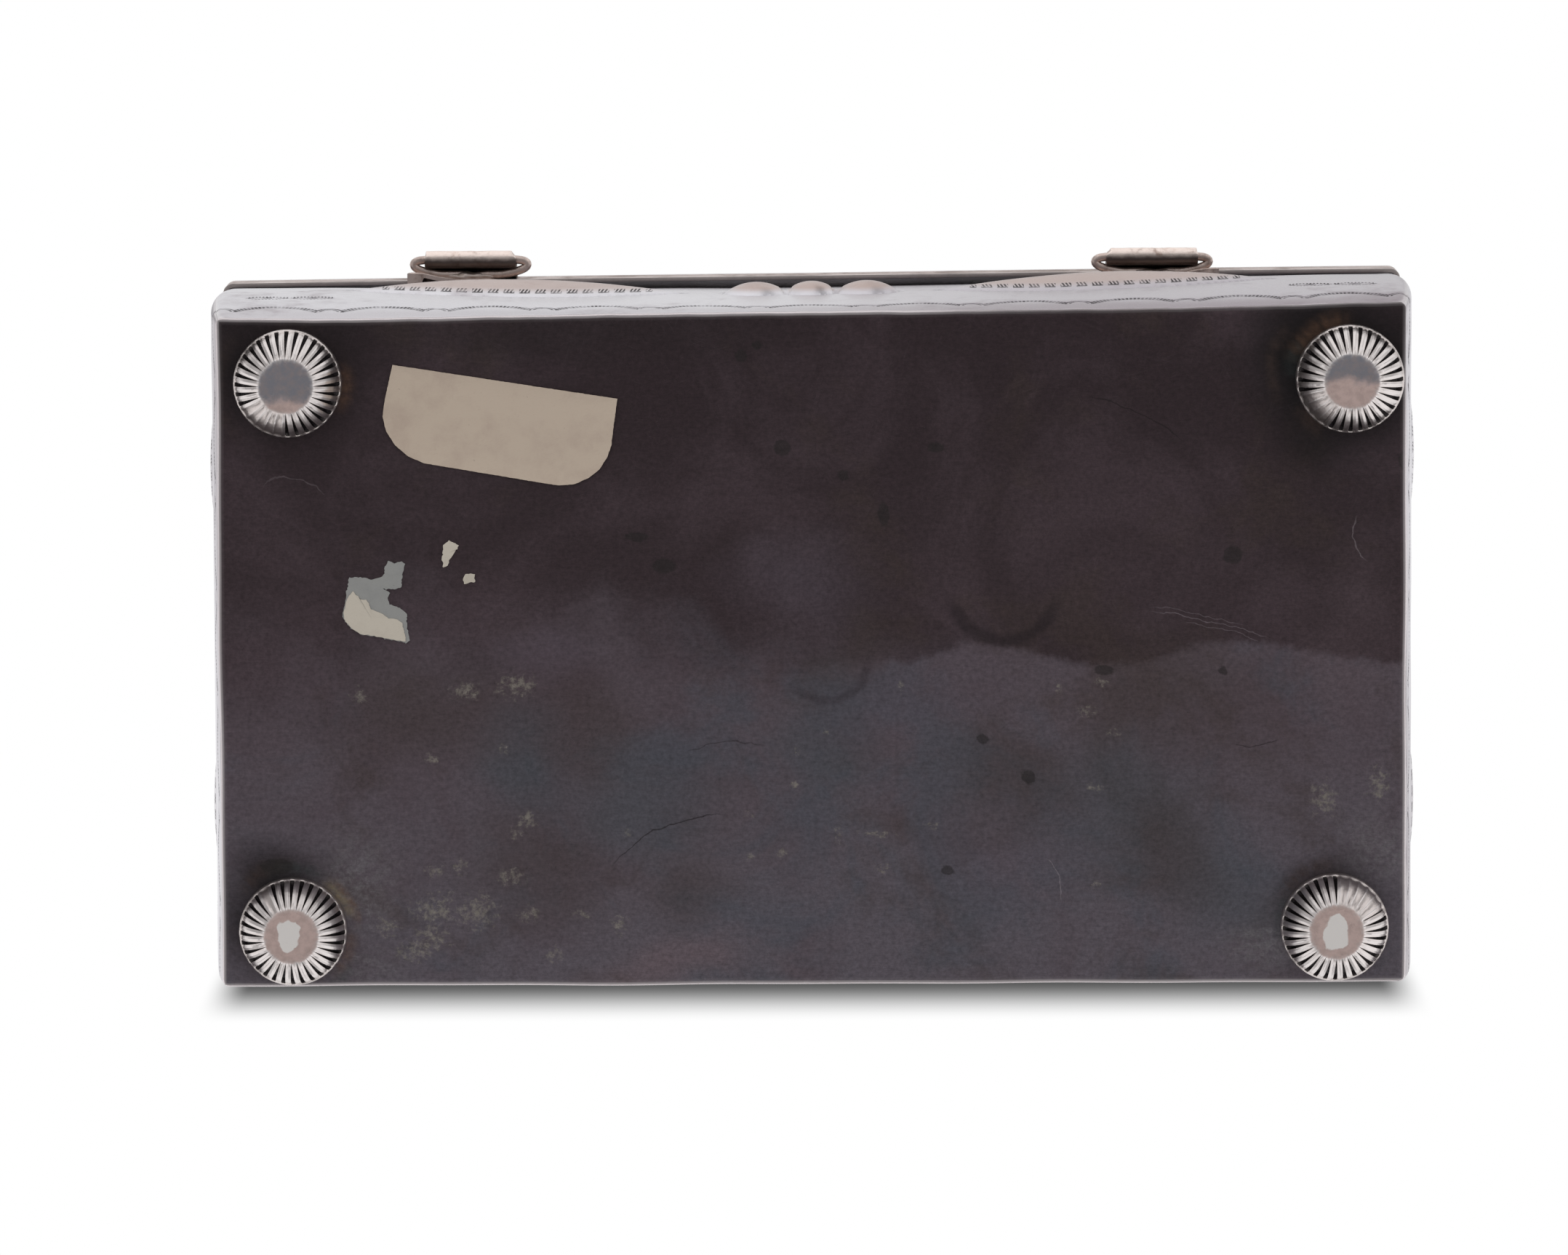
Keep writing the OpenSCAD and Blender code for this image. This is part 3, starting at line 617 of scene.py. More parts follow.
def wall_stamps(leaf_place, leaf_arc, leaf_height, eyes):
    """The punches of one wall: border, combs on the leaves and fringed eyes near the corners."""
    def stamps(w, mm):
        along, up, _ = sheet_place(w)
        found = [w.group(BORDER, {"Along": along, "Up": up})["Mask"],
                 w.group(COMBS, {"Along": along, "Up": up, "Leaf Place": leaf_place, "Leaf Arc": leaf_arc,
                                 "Leaf Height": leaf_height})["Mask"]]
        found += [w.group(EYES, {"Along": along, "Up": up, "Place": place})["Mask"] for place in eyes]
        uneven = w.step(w.noise(mm, 0.8, 3.0, 0.6), 0.28, 0.62)
        return w.product(w.largest(*found), w.calc("ADD", w.product(uneven, 0.65), 0.35))
    return stamps


def wall_band(leaf_tone):
    """Lilac tarnish at the foot of a wall, painted grey shade under the lid, and warm brown on the leaves."""
    def band(w, mm, colour):
        along, up, _ = sheet_place(w)
        uneven = w.product(w.calc("SUBTRACT", w.noise(mm, 0.09, 4.0), 0.5), 5.0)
        low = w.step(w.calc("ADD", up, uneven), 6.4, 1.6)
        far_end = w.step(along, 15.0, -30.0)
        darkness = w.product(low, w.calc("ADD", 0.3, w.product(far_end, 0.55)))
        colour = w.mix(darkness, colour, srgb(136, 122, 130))
        colour = w.mix(w.product(far_end, 0.5), colour, srgb(142, 130, 138))
        # painted shade: the top of the wall, under the lid's overhang, is darkened to grey
        high = w.step(w.calc("ADD", up, uneven), 29.0, 34.0)
        colour = w.mix(w.product(high, 0.7), colour, srgb(96, 90, 96))
        risen = w.step(w.painted("raised"), 0.1, 0.8)
        return w.mix(w.product(risen, leaf_tone), colour, srgb(178, 158, 150))
    return band


# %% [markdown]
# ## Bottom plate
# The bottom is a flat sheet that has hardly been polished since the box was made. It went purple-brown
# and then blue-grey where it was handled, soldering the feet on left soot round them, with runs of rust,
# green and gold and a pale haze, and glue and damp left dull spots. Its edges were filed after the walls
# were soldered on, so they are bright and not quite straight. The sheet is a fine grid with a filed edge.


# %% Edges of the box
EDGE_POINTS = np.array([
    (-68.1, 0.1), (-60, -0.05), (-51, -0.2), (-35, -0.3), (-15, -0.12), (0, -0.02), (20, -0.05),
    (40, -0.2), (55, -0.34), (63, -0.15), (68.1, 0.0)])
print(f"back edge of the bottom, filed in by up to {-EDGE_POINTS[:, 1].min()} mm")


def back_edge(x):
    """How far the back edge of the bottom was filed in or left out, along the box."""
    fine = np.linspace(-70, 70, 281)
    bent = np.interp(fine, EDGE_POINTS[:, 0], EDGE_POINTS[:, 1])
    bent = np.convolve(np.pad(bent, 12, mode="edge"), np.ones(25) / 25, mode="valid")
    return np.interp(x, fine, bent) + ripple(x, 9, 0.03, 3)


def side_edge(s, seed):
    """The other three edges only waver a little."""
    return ripple(s, 40, 0.07, seed)


def edge_shift(x, y, seeds=(11, 12, 13)):
    """The unevenness of the four edges of the box, at a point of its outline: how far it moves in x and y."""
    back, front = smooth(y, 30, 37), smooth(-y, 30, 37)
    right, left = smooth(x, 60, 67), smooth(-x, 60, 67)
    dy = back * back_edge(x) - front * side_edge(x, seeds[0])
    dx = right * side_edge(y, seeds[1]) - left * side_edge(y, seeds[2])
    return dx, dy


# %% Filed grids
def round_corners(x, y, half_x, half_y, r):
    """Moves the square corners of a grid on to round ones."""
    dx, dy = (np.abs(x) - (half_x - r)) / r, (np.abs(y) - (half_y - r)) / r
    corner = (dx > 0) & (dy > 0)
    cx, cy = dx * np.sqrt(1 - np.clip(dy, 0, 1) ** 2 / 2), dy * np.sqrt(1 - np.clip(dx, 0, 1) ** 2 / 2)
    new_x = np.where(corner, np.sign(x) * (half_x - r + r * cx), x)
    return new_x, np.where(corner, np.sign(y) * (half_y - r + r * cy), y)


def filed_steps(half, near, step):
    """Places along a half width: even steps in the middle and close ones at the filed edge."""
    even = np.linspace(0, half - near[-1], int((half - near[-1]) / step) + 1)
    up = np.concatenate([even, half - np.array(near[::-1][1:])])
    return np.concatenate([-up[:0:-1], up])


# %% Bottom plate mesh
NEAR = [0.0, 0.04, 0.1, 0.18, 0.28, 0.45, 0.8]
px, py = filed_steps(BOX_W / 2, NEAR, 0.5), filed_steps(BOX_D / 2, NEAR, 0.5)
gx, gy = np.meshgrid(px, py)
inset = np.minimum(BOX_W / 2 - np.abs(gx), BOX_D / 2 - np.abs(gy))
filed = 0.22 * (1 - np.sqrt(np.clip(1 - (1 - np.clip(inset / 0.28, 0, 1)) ** 2, 0, 1)))
x, y = round_corners(gx, gy, BOX_W / 2, BOX_D / 2, 0.8)
dx, dy = edge_shift(x, y)
sag = 0.05 * smooth(inset, 0, 6) + dents(x, y, 24, 0.02, 5) * smooth(inset, 1, 6)
under = np.stack([x + dx, y + dy + MIDDLE_Y, plate_low[2] + filed + sag], -1)
keep = np.r_[0:7, 7:len(py) - 7:8, len(py) - 7:len(py)]
upper = np.stack([x + dx, y + dy + MIDDLE_Y, np.full_like(x, plate_high[2])], -1)[keep]
plate_points, plate_faces = two_faced(hand_skew(under), hand_skew(upper))
print("bottom plate grid", under.shape[:2])

# %% [markdown]
# The tarnish of the bottom is painted in layers, as it grew: soft patches of tone, the halos round the
# feet, then single stains at the places where the real one has them. Each is a soft round spot or a piece
# of a ring with its outline pushed about, laid on the points of the grid. The shader adds everything finer
# than the grid: ragged outlines, flecks, hairs and grain.


# %% Tones painted on the bottom
true_y = gy + MIDDLE_Y
pushed_x = gx + dents(gx, gy, 26, 1.5, 21) + dents(gx, gy, 8, 0.6, 22)
pushed_y = true_y + dents(gx, gy, 26, 1.5, 23) + dents(gx, gy, 8, 0.6, 24)
paint = np.zeros((*gx.shape, 4))


def spot(cx, cy, across, tall, x=pushed_x, y=pushed_y):
    """A soft round mask: 1 at its middle and 0 at its half sizes."""
    return smooth(1 - np.hypot((x - cx) / across, (y - cy) / tall), 0, 0.9)


def lay(mask, tone, share):
    """Lays a tone over the paint, and keeps in the fourth number how much of the ground is covered."""
    mask = (mask * share)[..., None]
    paint[..., :3] = paint[..., :3] * (1 - mask) + np.array(srgb(*tone))[:3] * mask
    paint[..., 3:] = 1 - (1 - paint[..., 3:]) * (1 - mask)


LILAC, BROWN, TEAL, PINK, DARK = (92, 82, 92), (67, 56, 55), (70, 77, 84), (110, 94, 100), (42, 34, 36)
# place, half sizes, tone and how strongly it is laid
TONES = [(34, -15, 8, 10, TEAL, 0.7), (19.5, -18, 14, 10, TEAL, 0.6), (-35, -20, 16, 13, TEAL, 0.5),
         (-46, -28, 10, 9, TEAL, 0.6), (-2, -11, 9, 12, TEAL, 0.6), (45, -8, 16, 9, BROWN, 0.7),
         (26, -10, 10, 8, BROWN, 0.6), (32, -26, 13, 8, BROWN, 0.6), (13, -29, 7, 8, BROWN, 0.6),
         (-23.5, -17, 10, 8, BROWN, 0.6), (-43, -6, 16, 10, BROWN, 0.5), (-40, -26, 8, 8, BROWN, 0.6),
         (-6, 0, 5, 6, BROWN, 0.7), (-12, -6, 18, 9, LILAC, 0.5), (-22, -25, 13, 8, LILAC, 0.5),
         (15, -38, 16, 4, PINK, 0.8), (31, -2, 10, 5, LILAC, 0.5), (2, 6, 13, 9, LILAC, 0.45),
         (30, 36, 40, 6, DARK, 0.6), (-62, 0, 8, 16, PINK, 0.2)]
for cx, cy, across, tall, tone, share in TONES:
    lay(spot(cx, cy, across, tall), tone, share * 0.8)
print(len(TONES), "patches of tone on the bottom")

# %% Halos round the feet
FEET = {}
for foot in ("foot_back_right", "foot_back_left", "foot_front_right", "foot_front_left"):
    low, high = box_mm(foot)
    FEET[foot] = (low + high) / 2
BLACK, ORANGE, GOLD, GREEN, RUST = (12, 10, 11), (104, 76, 58), (140, 124, 94), (54, 62, 62), (62, 48, 43)
# soot and haze: foot, how far from its middle, half sizes and strength
# runs: foot, hour on a clock face, hours to each side, radius, width, tone and strength
SOOT = [("foot_back_right", 1.5, 1.0, 15, 14, 0.5), ("foot_back_right", 3.0, 3.0, 12, 12, 0.6),
        ("foot_back_left", -0.5, 0.5, 16, 14, 0.85), ("foot_back_left", 2.0, 1.0, 12, 12, 0.95),
        ("foot_front_right", 1.0, 3.5, 11, 9.5, 0.9), ("foot_front_left", 0.5, 3.2, 10.5, 8, 0.9)]
RUNS = [("foot_back_left", 10.8, 1.6, 6.2, 1.7, ORANGE, 0.5),
        ("foot_back_left", 9.2, 1.3, 8.6, 1.2, RUST, 0.6), ("foot_back_left", 9.5, 0.9, 6.2, 1.2, GREEN, 0.4),
        ("foot_back_left", 7.3, 0.6, 6.8, 1.5, RUST, 0.8),
        ("foot_back_right", 3.0, 1.1, 6.4, 1.5, ORANGE, 0.5),
        ("foot_back_right", 9.0, 2.0, 8.6, 1.6, RUST, 0.4),
        ("foot_front_right", 2.0, 0.8, 7.0, 1.1, GOLD, 0.7),
        ("foot_front_right", 2.2, 0.9, 7.9, 0.7, ORANGE, 0.7),
        ("foot_front_right", 3.8, 1.0, 7.0, 1.2, ORANGE, 0.5),
        ("foot_front_right", 4.8, 1.0, 8.0, 1.1, GREEN, 0.5),
        ("foot_front_right", 11.2, 1.2, 7.4, 1.5, RUST, 0.7),
        ("foot_front_right", 0.2, 1.2, 7.2, 1.2, GREEN, 0.5),
        ("foot_front_left", 9.4, 1.0, 7.0, 1.0, GREEN, 0.5),
        ("foot_front_left", 11.0, 1.2, 7.4, 1.4, RUST, 0.6)]
HAZE = [("foot_front_right", -9.0, 5.0, 7, 10, 0.8), ("foot_front_right", -8.5, -4.5, 6, 4, 0.5),
        ("foot_front_left", 9.5, -1.5, 6, 6, 0.9), ("foot_front_left", -5.0, 9.0, 7, 7, 0.7)]
hazy = np.zeros_like(gx)
for foot, dx, dy, across, tall, share in HAZE:
    degrees = np.degrees(np.arctan2(true_y - FEET[foot][1], gx - FEET[foot][0]))
    fan = np.clip(0.7 + ripple(degrees, 9, 0.5, 31), 0.1, 1)
    hazy = np.maximum(hazy, share * fan * spot(FEET[foot][0] + dx, FEET[foot][1] + dy, across, tall))
for foot, dx, dy, across, tall, share in SOOT:
    mask = spot(FEET[foot][0] + dx, FEET[foot][1] + dy, across, tall)
    hazy = hazy * (1 - mask * share)
    lay(mask, BLACK, share)
for foot, hour, reach, radius, width, tone, share in RUNS:
    dx, dy = gx + 0.3 * (pushed_x - gx) - FEET[foot][0], true_y + 0.3 * (pushed_y - true_y) - FEET[foot][1]
    clock = np.mod(np.arctan2(-dx, dy) / math.radians(30) - hour + 6, 12) - 6
    band = smooth(1 - np.abs(np.hypot(dx, dy) - radius) / width, 0, 1)
    band = band * smooth(1 - np.abs(clock) / reach, 0, 0.6)
    lay(band * np.clip(0.8 + ripple(clock, 0.3, 0.5, 33), 0.2, 1), tone, share)
print("halos:", {foot: [round(float(v), 1) for v in centre] for foot, centre in FEET.items()})

# %% Stains
# spots: place and half sizes. The shore is the line where the purple-brown of the back ends.
DARK_SPOTS = [(3.4, 22.2, 1.3, 1.2), (-14.3, 22.0, 1.6, 0.6), (-8.2, 14.4, 0.9, 1.7), (20.0, 12.1, 1.8, 0.7),
              (17.0, 8.7, 1.9, 1.1), (-48.3, 9.3, 1.5, 1.4), (-3.6, 18.9, 0.8, 0.8), (-33.4, -3.8, 1.6, 0.7),
              (-19.5, -11.6, 0.9, 0.7), (-24.7, -16.0, 1.1, 1.0), (-15.4, -26.7, 1.0, 0.7),
              (-47.1, -4.0, 0.7, 0.7), (8.0, 32.8, 0.9, 0.9), (6.2, 34.0, 0.9, 0.7), (-67.8, 19.8, 0.8, 1.4),
              (61.8, -25.8, 2.4, 1.2)]
PALE_SPOTS = [(34.1, -5.0, 3.6, 2.4), (39.9, -5.6, 3.0, 1.8), (35.6, -12.4, 0.8, 0.9),
              (33.0, -20.5, 1.7, 1.8), (34.2, -22.2, 1.2, 1.2), (43.8, -13.5, 1.6, 1.2),
              (43.6, -26.5, 1.8, 1.5), (40.6, -26.1, 1.4, 1.6), (43.6, -31.0, 4.4, 3.0),
              (38.7, -31.1, 4.0, 3.2), (32.7, -31.6, 2.0, 1.6), (34.9, -27.2, 2.8, 1.6),
              (45.9, -35.9, 3.2, 2.0), (44.0, -34.2, 3.6, 2.4), (29.8, -36.2, 1.6, 1.6),
              (22.4, -32.7, 1.8, 1.8), (21.4, -22.1, 0.8, 0.9), (2.2, -16.7, 0.7, 0.9),
              (1.8, -12.8, 0.8, 1.1), (-1.4, -10.6, 0.9, 0.9), (3.8, -24.5, 1.4, 0.7), (7.4, -20.0, 0.9, 0.7),
              (7.3, -24.9, 1.4, 0.7), (-2.9, -22.2, 0.8, 2.0), (26.9, -31.6, 2.8, 0.7),
              (-10.1, -5.5, 0.7, 1.1), (-28.3, -5.8, 0.7, 1.1), (-33.2, -5.1, 1.3, 0.9),
              (-31.6, -8.5, 1.8, 1.1), (-34.4, -10.9, 1.3, 0.9), (-7.4, -22.4, 3.4, 0.7),
              (-13.5, -21.6, 1.4, 0.7), (-32.4, -17.3, 1.8, 0.7), (-8.1, -26.4, 1.8, 0.9),
              (-32.4, -28.4, 1.2, 1.0), (-58.7, -18.8, 2.4, 3.2), (-65.0, -17.1, 2.0, 3.4),
              (52.0, -6.1, 1.6, 1.4), (49.0, -33.0, 2.0, 2.0)]
SHORE = [(-70, -3.4), (-65, -3.2), (-57, -1.6), (-50.6, -0.5), (-44.3, -0.8), (-41, -2), (-37.2, -3),
         (-29.9, -3), (-25.1, -1.4), (-17.8, -0.3), (-11.3, -2.6), (-7.5, -2.2), (10, -4), (70, -4)]
dark = np.max([spot(cx, cy, 1.2 * a, 1.2 * b, gx, true_y) for cx, cy, a, b in DARK_SPOTS], axis=0)
pale = np.max([spot(cx, cy, 1.4 * a, 1.4 * b, gx, true_y) for cx, cy, a, b in PALE_SPOTS], axis=0)
below_shore = np.interp(gx, *zip(*SHORE)) - true_y
paint[..., :3] /= np.maximum(paint[..., 3:], 1e-4)
layers = {"paint": paint, "hazy": hazy, "dark": dark, "pale": pale, "shore": np.clip(below_shore, -20, 20),
          "filed": smooth(0.5 - inset, 0.0, 0.35)}
bottom_marks = {}
for label, values in layers.items():
    values = values.reshape(gx.size, -1)
    values = np.concatenate([values, np.zeros((upper[..., 0].size, values.shape[1]))])
    bottom_marks[label] = values if values.shape[1] == 4 else values.ravel()
print(len(DARK_SPOTS), "dark and", len(PALE_SPOTS), "pale stains")

# %% Bottom plate material
old_bottom, w, shader = new_material("old_bottom")
mm = w.millimetres()
x, y, _ = w.apart(mm)
ragged_line = w.product(w.calc("SUBTRACT", w.noise(mm, 0.5, 5.0, 0.7), 0.5), 2.4)
right_half = w.step(x, 4.0, -10.0)
sharp_side = w.product(w.step(w.calc("ADD", w.painted("shore"), ragged_line), -0.6, 0.8), right_half)
wander = w.product(w.calc("SUBTRACT", w.noise(mm, 0.07, 5.0, 0.6), 0.5), 40.0)
soft_side = w.step(w.calc("ADD", w.painted("shore"), wander), -13.0, 11.0)
below = w.calc("ADD", sharp_side, w.product(soft_side, w.calc("SUBTRACT", 1.0, right_half)))
ground = w.mix(below, w.mix(w.step(y, 4.0, 34.0), srgb(58, 46, 50), srgb(52, 40, 44)),
               w.mix(w.step(y, -4.0, -34.0), srgb(90, 80, 87), srgb(96, 89, 97)))
cloud = w.noise(mm, 0.05, 5.0, 0.62, 0.6)
ground = w.mix(w.product(w.step(cloud, 0.42, 0.7), 0.5), ground, srgb(80, 66, 72))
brown = w.step(w.noise(w.place(mm, shift=(60, 0, 0)), 0.06, 5.0, 0.65, 0.4), 0.5, 0.68)
ground = w.mix(w.product(brown, 0.45), ground, srgb(66, 54, 50))
bluish = w.product(w.step(w.noise(w.place(mm, shift=(40, 9, 0)), 0.06, 5.0, 0.62, 0.5), 0.5, 0.68), below)
ground = w.mix(w.product(bluish, 0.5), ground, srgb(76, 82, 92))
laid = w.add("ShaderNodeAttribute", attribute_name="paint").outputs
ground = w.mix(laid["Alpha"], ground, laid["Color"])
feather = w.step(w.noise(mm, 1.5, 6.0, 0.75, 0.8), 0.3, 0.7)
ground = w.mix(w.product(w.painted("hazy"), feather, 0.75), ground, srgb(128, 126, 128))
outline = w.product(w.calc("SUBTRACT", w.noise(mm, 1.0, 4.0, 0.65), 0.5), 0.7)
dark_spots = w.step(w.calc("ADD", w.painted("dark"), outline), 0.22, 0.5)
ground = w.mix(w.product(dark_spots, 0.65), ground, srgb(38, 34, 34))
flecks = w.step(w.calc("ADD", w.noise(mm, 1.3, 7.0, 0.78), w.product(w.painted("pale"), 0.28)), 0.68, 0.92)
ground = w.mix(w.product(flecks, w.step(w.painted("pale"), 0.0, 0.3), 0.7), ground, srgb(140, 134, 124))
print("layers of the bottom wired")

# %% Hairs, rings and long scratches
shake = w.add("ShaderNodeTexNoise", {"Vector": mm, "Scale": 0.5, "Detail": 3.0}).outputs["Color"]
shake = w.add("ShaderNodeVectorMath", {0: shake, 3: 1.2}, operation="SCALE").outputs[0]
shaken = w.add("ShaderNodeVectorMath", {0: mm, 1: shake}, operation="ADD").outputs[0]
ARC_MARK, arc, given, out = shader_group("arc mark", {
    "Vector": None, "Radius": 5.0, "Width": 0.1, "Toward": 0.0, "Reach": 0.5}, ["Mask"])
across, tall, _ = arc.apart(given["Vector"])
far = arc.calc("SQRT", arc.calc("ADD", arc.product(across, across), arc.product(tall, tall)))
off = arc.calc("ABSOLUTE", arc.calc("SUBTRACT", far, given["Radius"]))
around = arc.calc("SUBTRACT", arc.calc("ARCTAN2", tall, across), given["Toward"])
around = arc.calc("WRAP", around, math.pi, -math.pi)
near = arc.step(arc.calc("ABSOLUTE", around), given["Reach"], arc.product(given["Reach"], 0.6))
put(arc, out, "Mask", arc.product(arc.step(off, given["Width"], arc.product(given["Width"], 0.2)), near))
# middle, radius, direction and reach in degrees, width, tone and strength
ARCS = [(-21.9, 6.2, 6.3, -90, 90, 1.2, (36, 28, 32), 0.6), (-1.6, -2.0, 5.0, -110, 80, 0.8, (48, 40, 46), 0.4),
        (11, -36, 15.8, 66, 30, 0.1, (40, 34, 38), 0.8), (9, -24, 12.3, 85, 24, 0.12, (48, 40, 44), 0.6),
        (-50.5, -6, 6.4, -95, 28, 0.12, (46, 38, 42), 0.7),
        (-22.6, -29.6, 6, 160, 30, 0.09, (132, 124, 130), 0.6),
        (-32.7, -56.6, 60, 102.6, 7.5, 0.07, (120, 110, 116), 0.6),
        (-32.7, -56.6, 60.5, 101, 6, 0.06, (116, 106, 112), 0.5),
        (-32.7, -56.6, 59.4, 104, 5, 0.06, (120, 110, 116), 0.5),
        (-24.9, -1.3, 30, 114.8, 13.6, 0.12, (34, 26, 28), 0.7),
        (-66, 12, 4, -10, 45, 0.1, (120, 110, 114), 0.6), (60, 14, 5, 100, 50, 0.1, (100, 90, 94), 0.5)]
for cx, cy, radius, toward, reach, width, tone, share in ARCS:
    mark = w.group(ARC_MARK, {
        "Vector": w.place(shaken, shift=(-cx - 0.6, -cy - 0.6, 0)), "Radius": radius, "Width": width,
        "Toward": math.radians(toward), "Reach": math.radians(reach)})["Mask"]
    ground = w.mix(w.product(mark, share), ground, srgb(*tone))
print(len(ARCS), "arcs")

# %% Scratches, edge and finish of the bottom
lines = w.group(SCRATCHES, {"Vector": mm, "Size": 3.0, "Amount": 1.0})["Mask"]
short = w.group(SCRATCHES, {"Vector": w.place(mm, turn=(0, 0, 0.8)), "Size": 5.0, "Amount": 1.0})["Mask"]
ground = w.mix(w.product(lines, 0.02), ground, srgb(120, 110, 116))
ground = w.mix(w.product(short, 0.12), ground, srgb(44, 38, 42))
speck = w.noise(mm, 1.8, 5.0, 0.75)
brushed = w.noise(w.place(mm, scale=(0.7, 4.5, 1.0)), 1.1, 4.0, 0.6, 1.2)
grain = w.calc("ADD", 0.1, w.calc("ADD", w.product(speck, 1.3), w.product(brushed, 0.5)))
grain_grey = w.add("ShaderNodeCombineXYZ", {0: grain, 1: grain, 2: grain}).outputs[0]
ground = w.mix(1.0, ground, grain_grey, "MULTIPLY")
grit = w.step(w.noise(mm, 6.5, 2.0), 0.77, 0.82)
ground = w.mix(w.product(grit, 0.3), ground, srgb(126, 120, 120))
filed_edge = w.painted("filed")
worn = w.product(filed_edge, w.step(w.noise(mm, 0.5, 4.0), 0.12, 0.32))
dimmed = w.product(w.step(x, -8.0, -28.0), w.step(y, 20.0, 36.0), 0.75)
worn = w.product(worn, w.calc("SUBTRACT", 1.0, dimmed))
ground = w.mix(worn, ground, srgb(214, 206, 208))
height = w.calc("ADD", w.product(speck, 0.03), w.product(brushed, 0.03))
height = w.calc("ADD", height, w.product(lines, -0.015))
bump = w.add("ShaderNodeBump", {"Strength": 0.6, "Distance": MM, "Height": height}).outputs[0]
rough = w.calc("ADD", 0.34, w.product(cloud, 0.25))
wire(w, shader, Base_Color=ground, Metallic=w.calc("ADD", 0.55, w.product(filed_edge, 0.45)),
     Roughness=w.calc("SUBTRACT", rough, w.product(filed_edge, 0.15)), Normal=bump)
make_piece("bottom_sheet", plate_points, plate_faces, old_bottom, "box", "tarnished_silver",
           ["bottom_plate"], marks=bottom_marks)

# %% [markdown]
# ## Walls
# Each wall is a strip of sheet that was domed a little from inside, so it swells outwards between its
# edges, and then worked with punches: leaves and round domes pushed out from the back, lines chased
# round them from the front. The four strips meet in mitred, soldered corners that were filed round. The
# real back wall swells less in its middle. Here a wall is a grid whose height above the swell is the sum
# of those forms, because leaves, domes, grooves and swell then blend as they do in sheet.


# %% Forms of the raised work
def arc_of(length, height):
    """Radius of the two arcs that draw a leaf."""
    return (length ** 2 + height ** 2) / (4 * height)


def leaf_rise(u, v, length, height, relief):
    """Height of a pointed leaf with a soft ridge, and the distance outside its outline."""
    arc = arc_of(length, height)
    side = arc - height / 2
    sunk = ((length / 2) ** 2 - relief ** 2) / (2 * relief)
    ball = arc ** 2 + sunk ** 2
    faces = [np.sqrt(np.clip(ball - u ** 2 - (v + s * side) ** 2, 0, None)) - sunk for s in (-1, 1)]
    sharp = 7.0
    rise = -np.log(np.exp(-sharp * faces[0]) + np.exp(-sharp * faces[1])) / sharp + 0.04
    return np.clip(rise, 0, None), np.sqrt(u ** 2 + (np.abs(v) + side) ** 2) - arc


def dome_rise(u, v, across, relief):
    """Height of a round dome, and the distance outside its outline."""
    ball = ((across / 2) ** 2 + relief ** 2) / (2 * relief)
    far = np.sqrt(u ** 2 + v ** 2)
    return np.clip(np.sqrt(np.clip(ball ** 2 - far ** 2, 0, None)) - ball + relief, 0, None), far - across / 2


def groove(off, width, depth):
    """A chased line: its middle is where off is zero."""
    return depth * np.exp(-((off / width) ** 2) * 3)


# %% Pressed stamps
def border_press(u, v):
    """How deep the border punches went at a point of a sheet."""
    around = np.mod(u + BORDER_STEP / 2, BORDER_STEP) - BORDER_STEP / 2
    off = np.hypot(around, v - BORDER_TOP + ARC_R) - ARC_R
    reach = smooth(ARC_REACH - np.abs(around), -0.1, 0.3) * smooth(v, 1.5, 2.5)
    pressed = groove(off, 0.3, 0.13) + 0.05 * smooth(off, 0.1, 0.3) * smooth(0.9 - off, 0, 0.3)
    around = np.mod(u, BORDER_STEP) - BORDER_STEP / 2
    moon = np.hypot(around, v - MOON_Z)
    above = smooth(v, MOON_Z - 0.2, MOON_Z + 0.1)
    outer, inner = MOON_RADII
    return pressed * reach + (groove(moon - outer, 0.25, 0.1) + groove(moon - inner, 0.25, 0.08)) * above


def eye_press(u, v, place, height=12.0):
    """How deep the eye punch went."""
    u, v = np.abs(u) - place, np.abs(v - height)
    off = np.sqrt(u ** 2 + (v + EYE_SIDE) ** 2) - EYE_ARC
    return groove(off, 0.25, 0.09) + 0.1 * smooth(1.0 - (np.abs(u) * 1.1 + v * 2.6), 0, 0.5)


# %% Wall builder
WALL_ROWS = np.concatenate([
    [0, 0.06, 0.2, 0.5, 1.0, 1.6], np.arange(2.1, 7.2, 0.22), np.linspace(7.5, 10.6, 9),
    np.arange(10.9, 13.2, 0.25), np.arange(13.5, 27.6, 0.36), np.linspace(28.2, 39.7, 15), [39.85, WALL_H]])
INNER_ROWS = np.concatenate([
    [0], np.linspace(3, 13, 5), np.arange(13.8, 27.6, 0.9), np.linspace(29, WALL_H, 5)])
AT_RELIEF = 0.9994  # the share of a wall's full swell that it has at the height of its leaves
INNER_UV = [0.0, 15.0]  # a place on the sheet that no stamp reaches


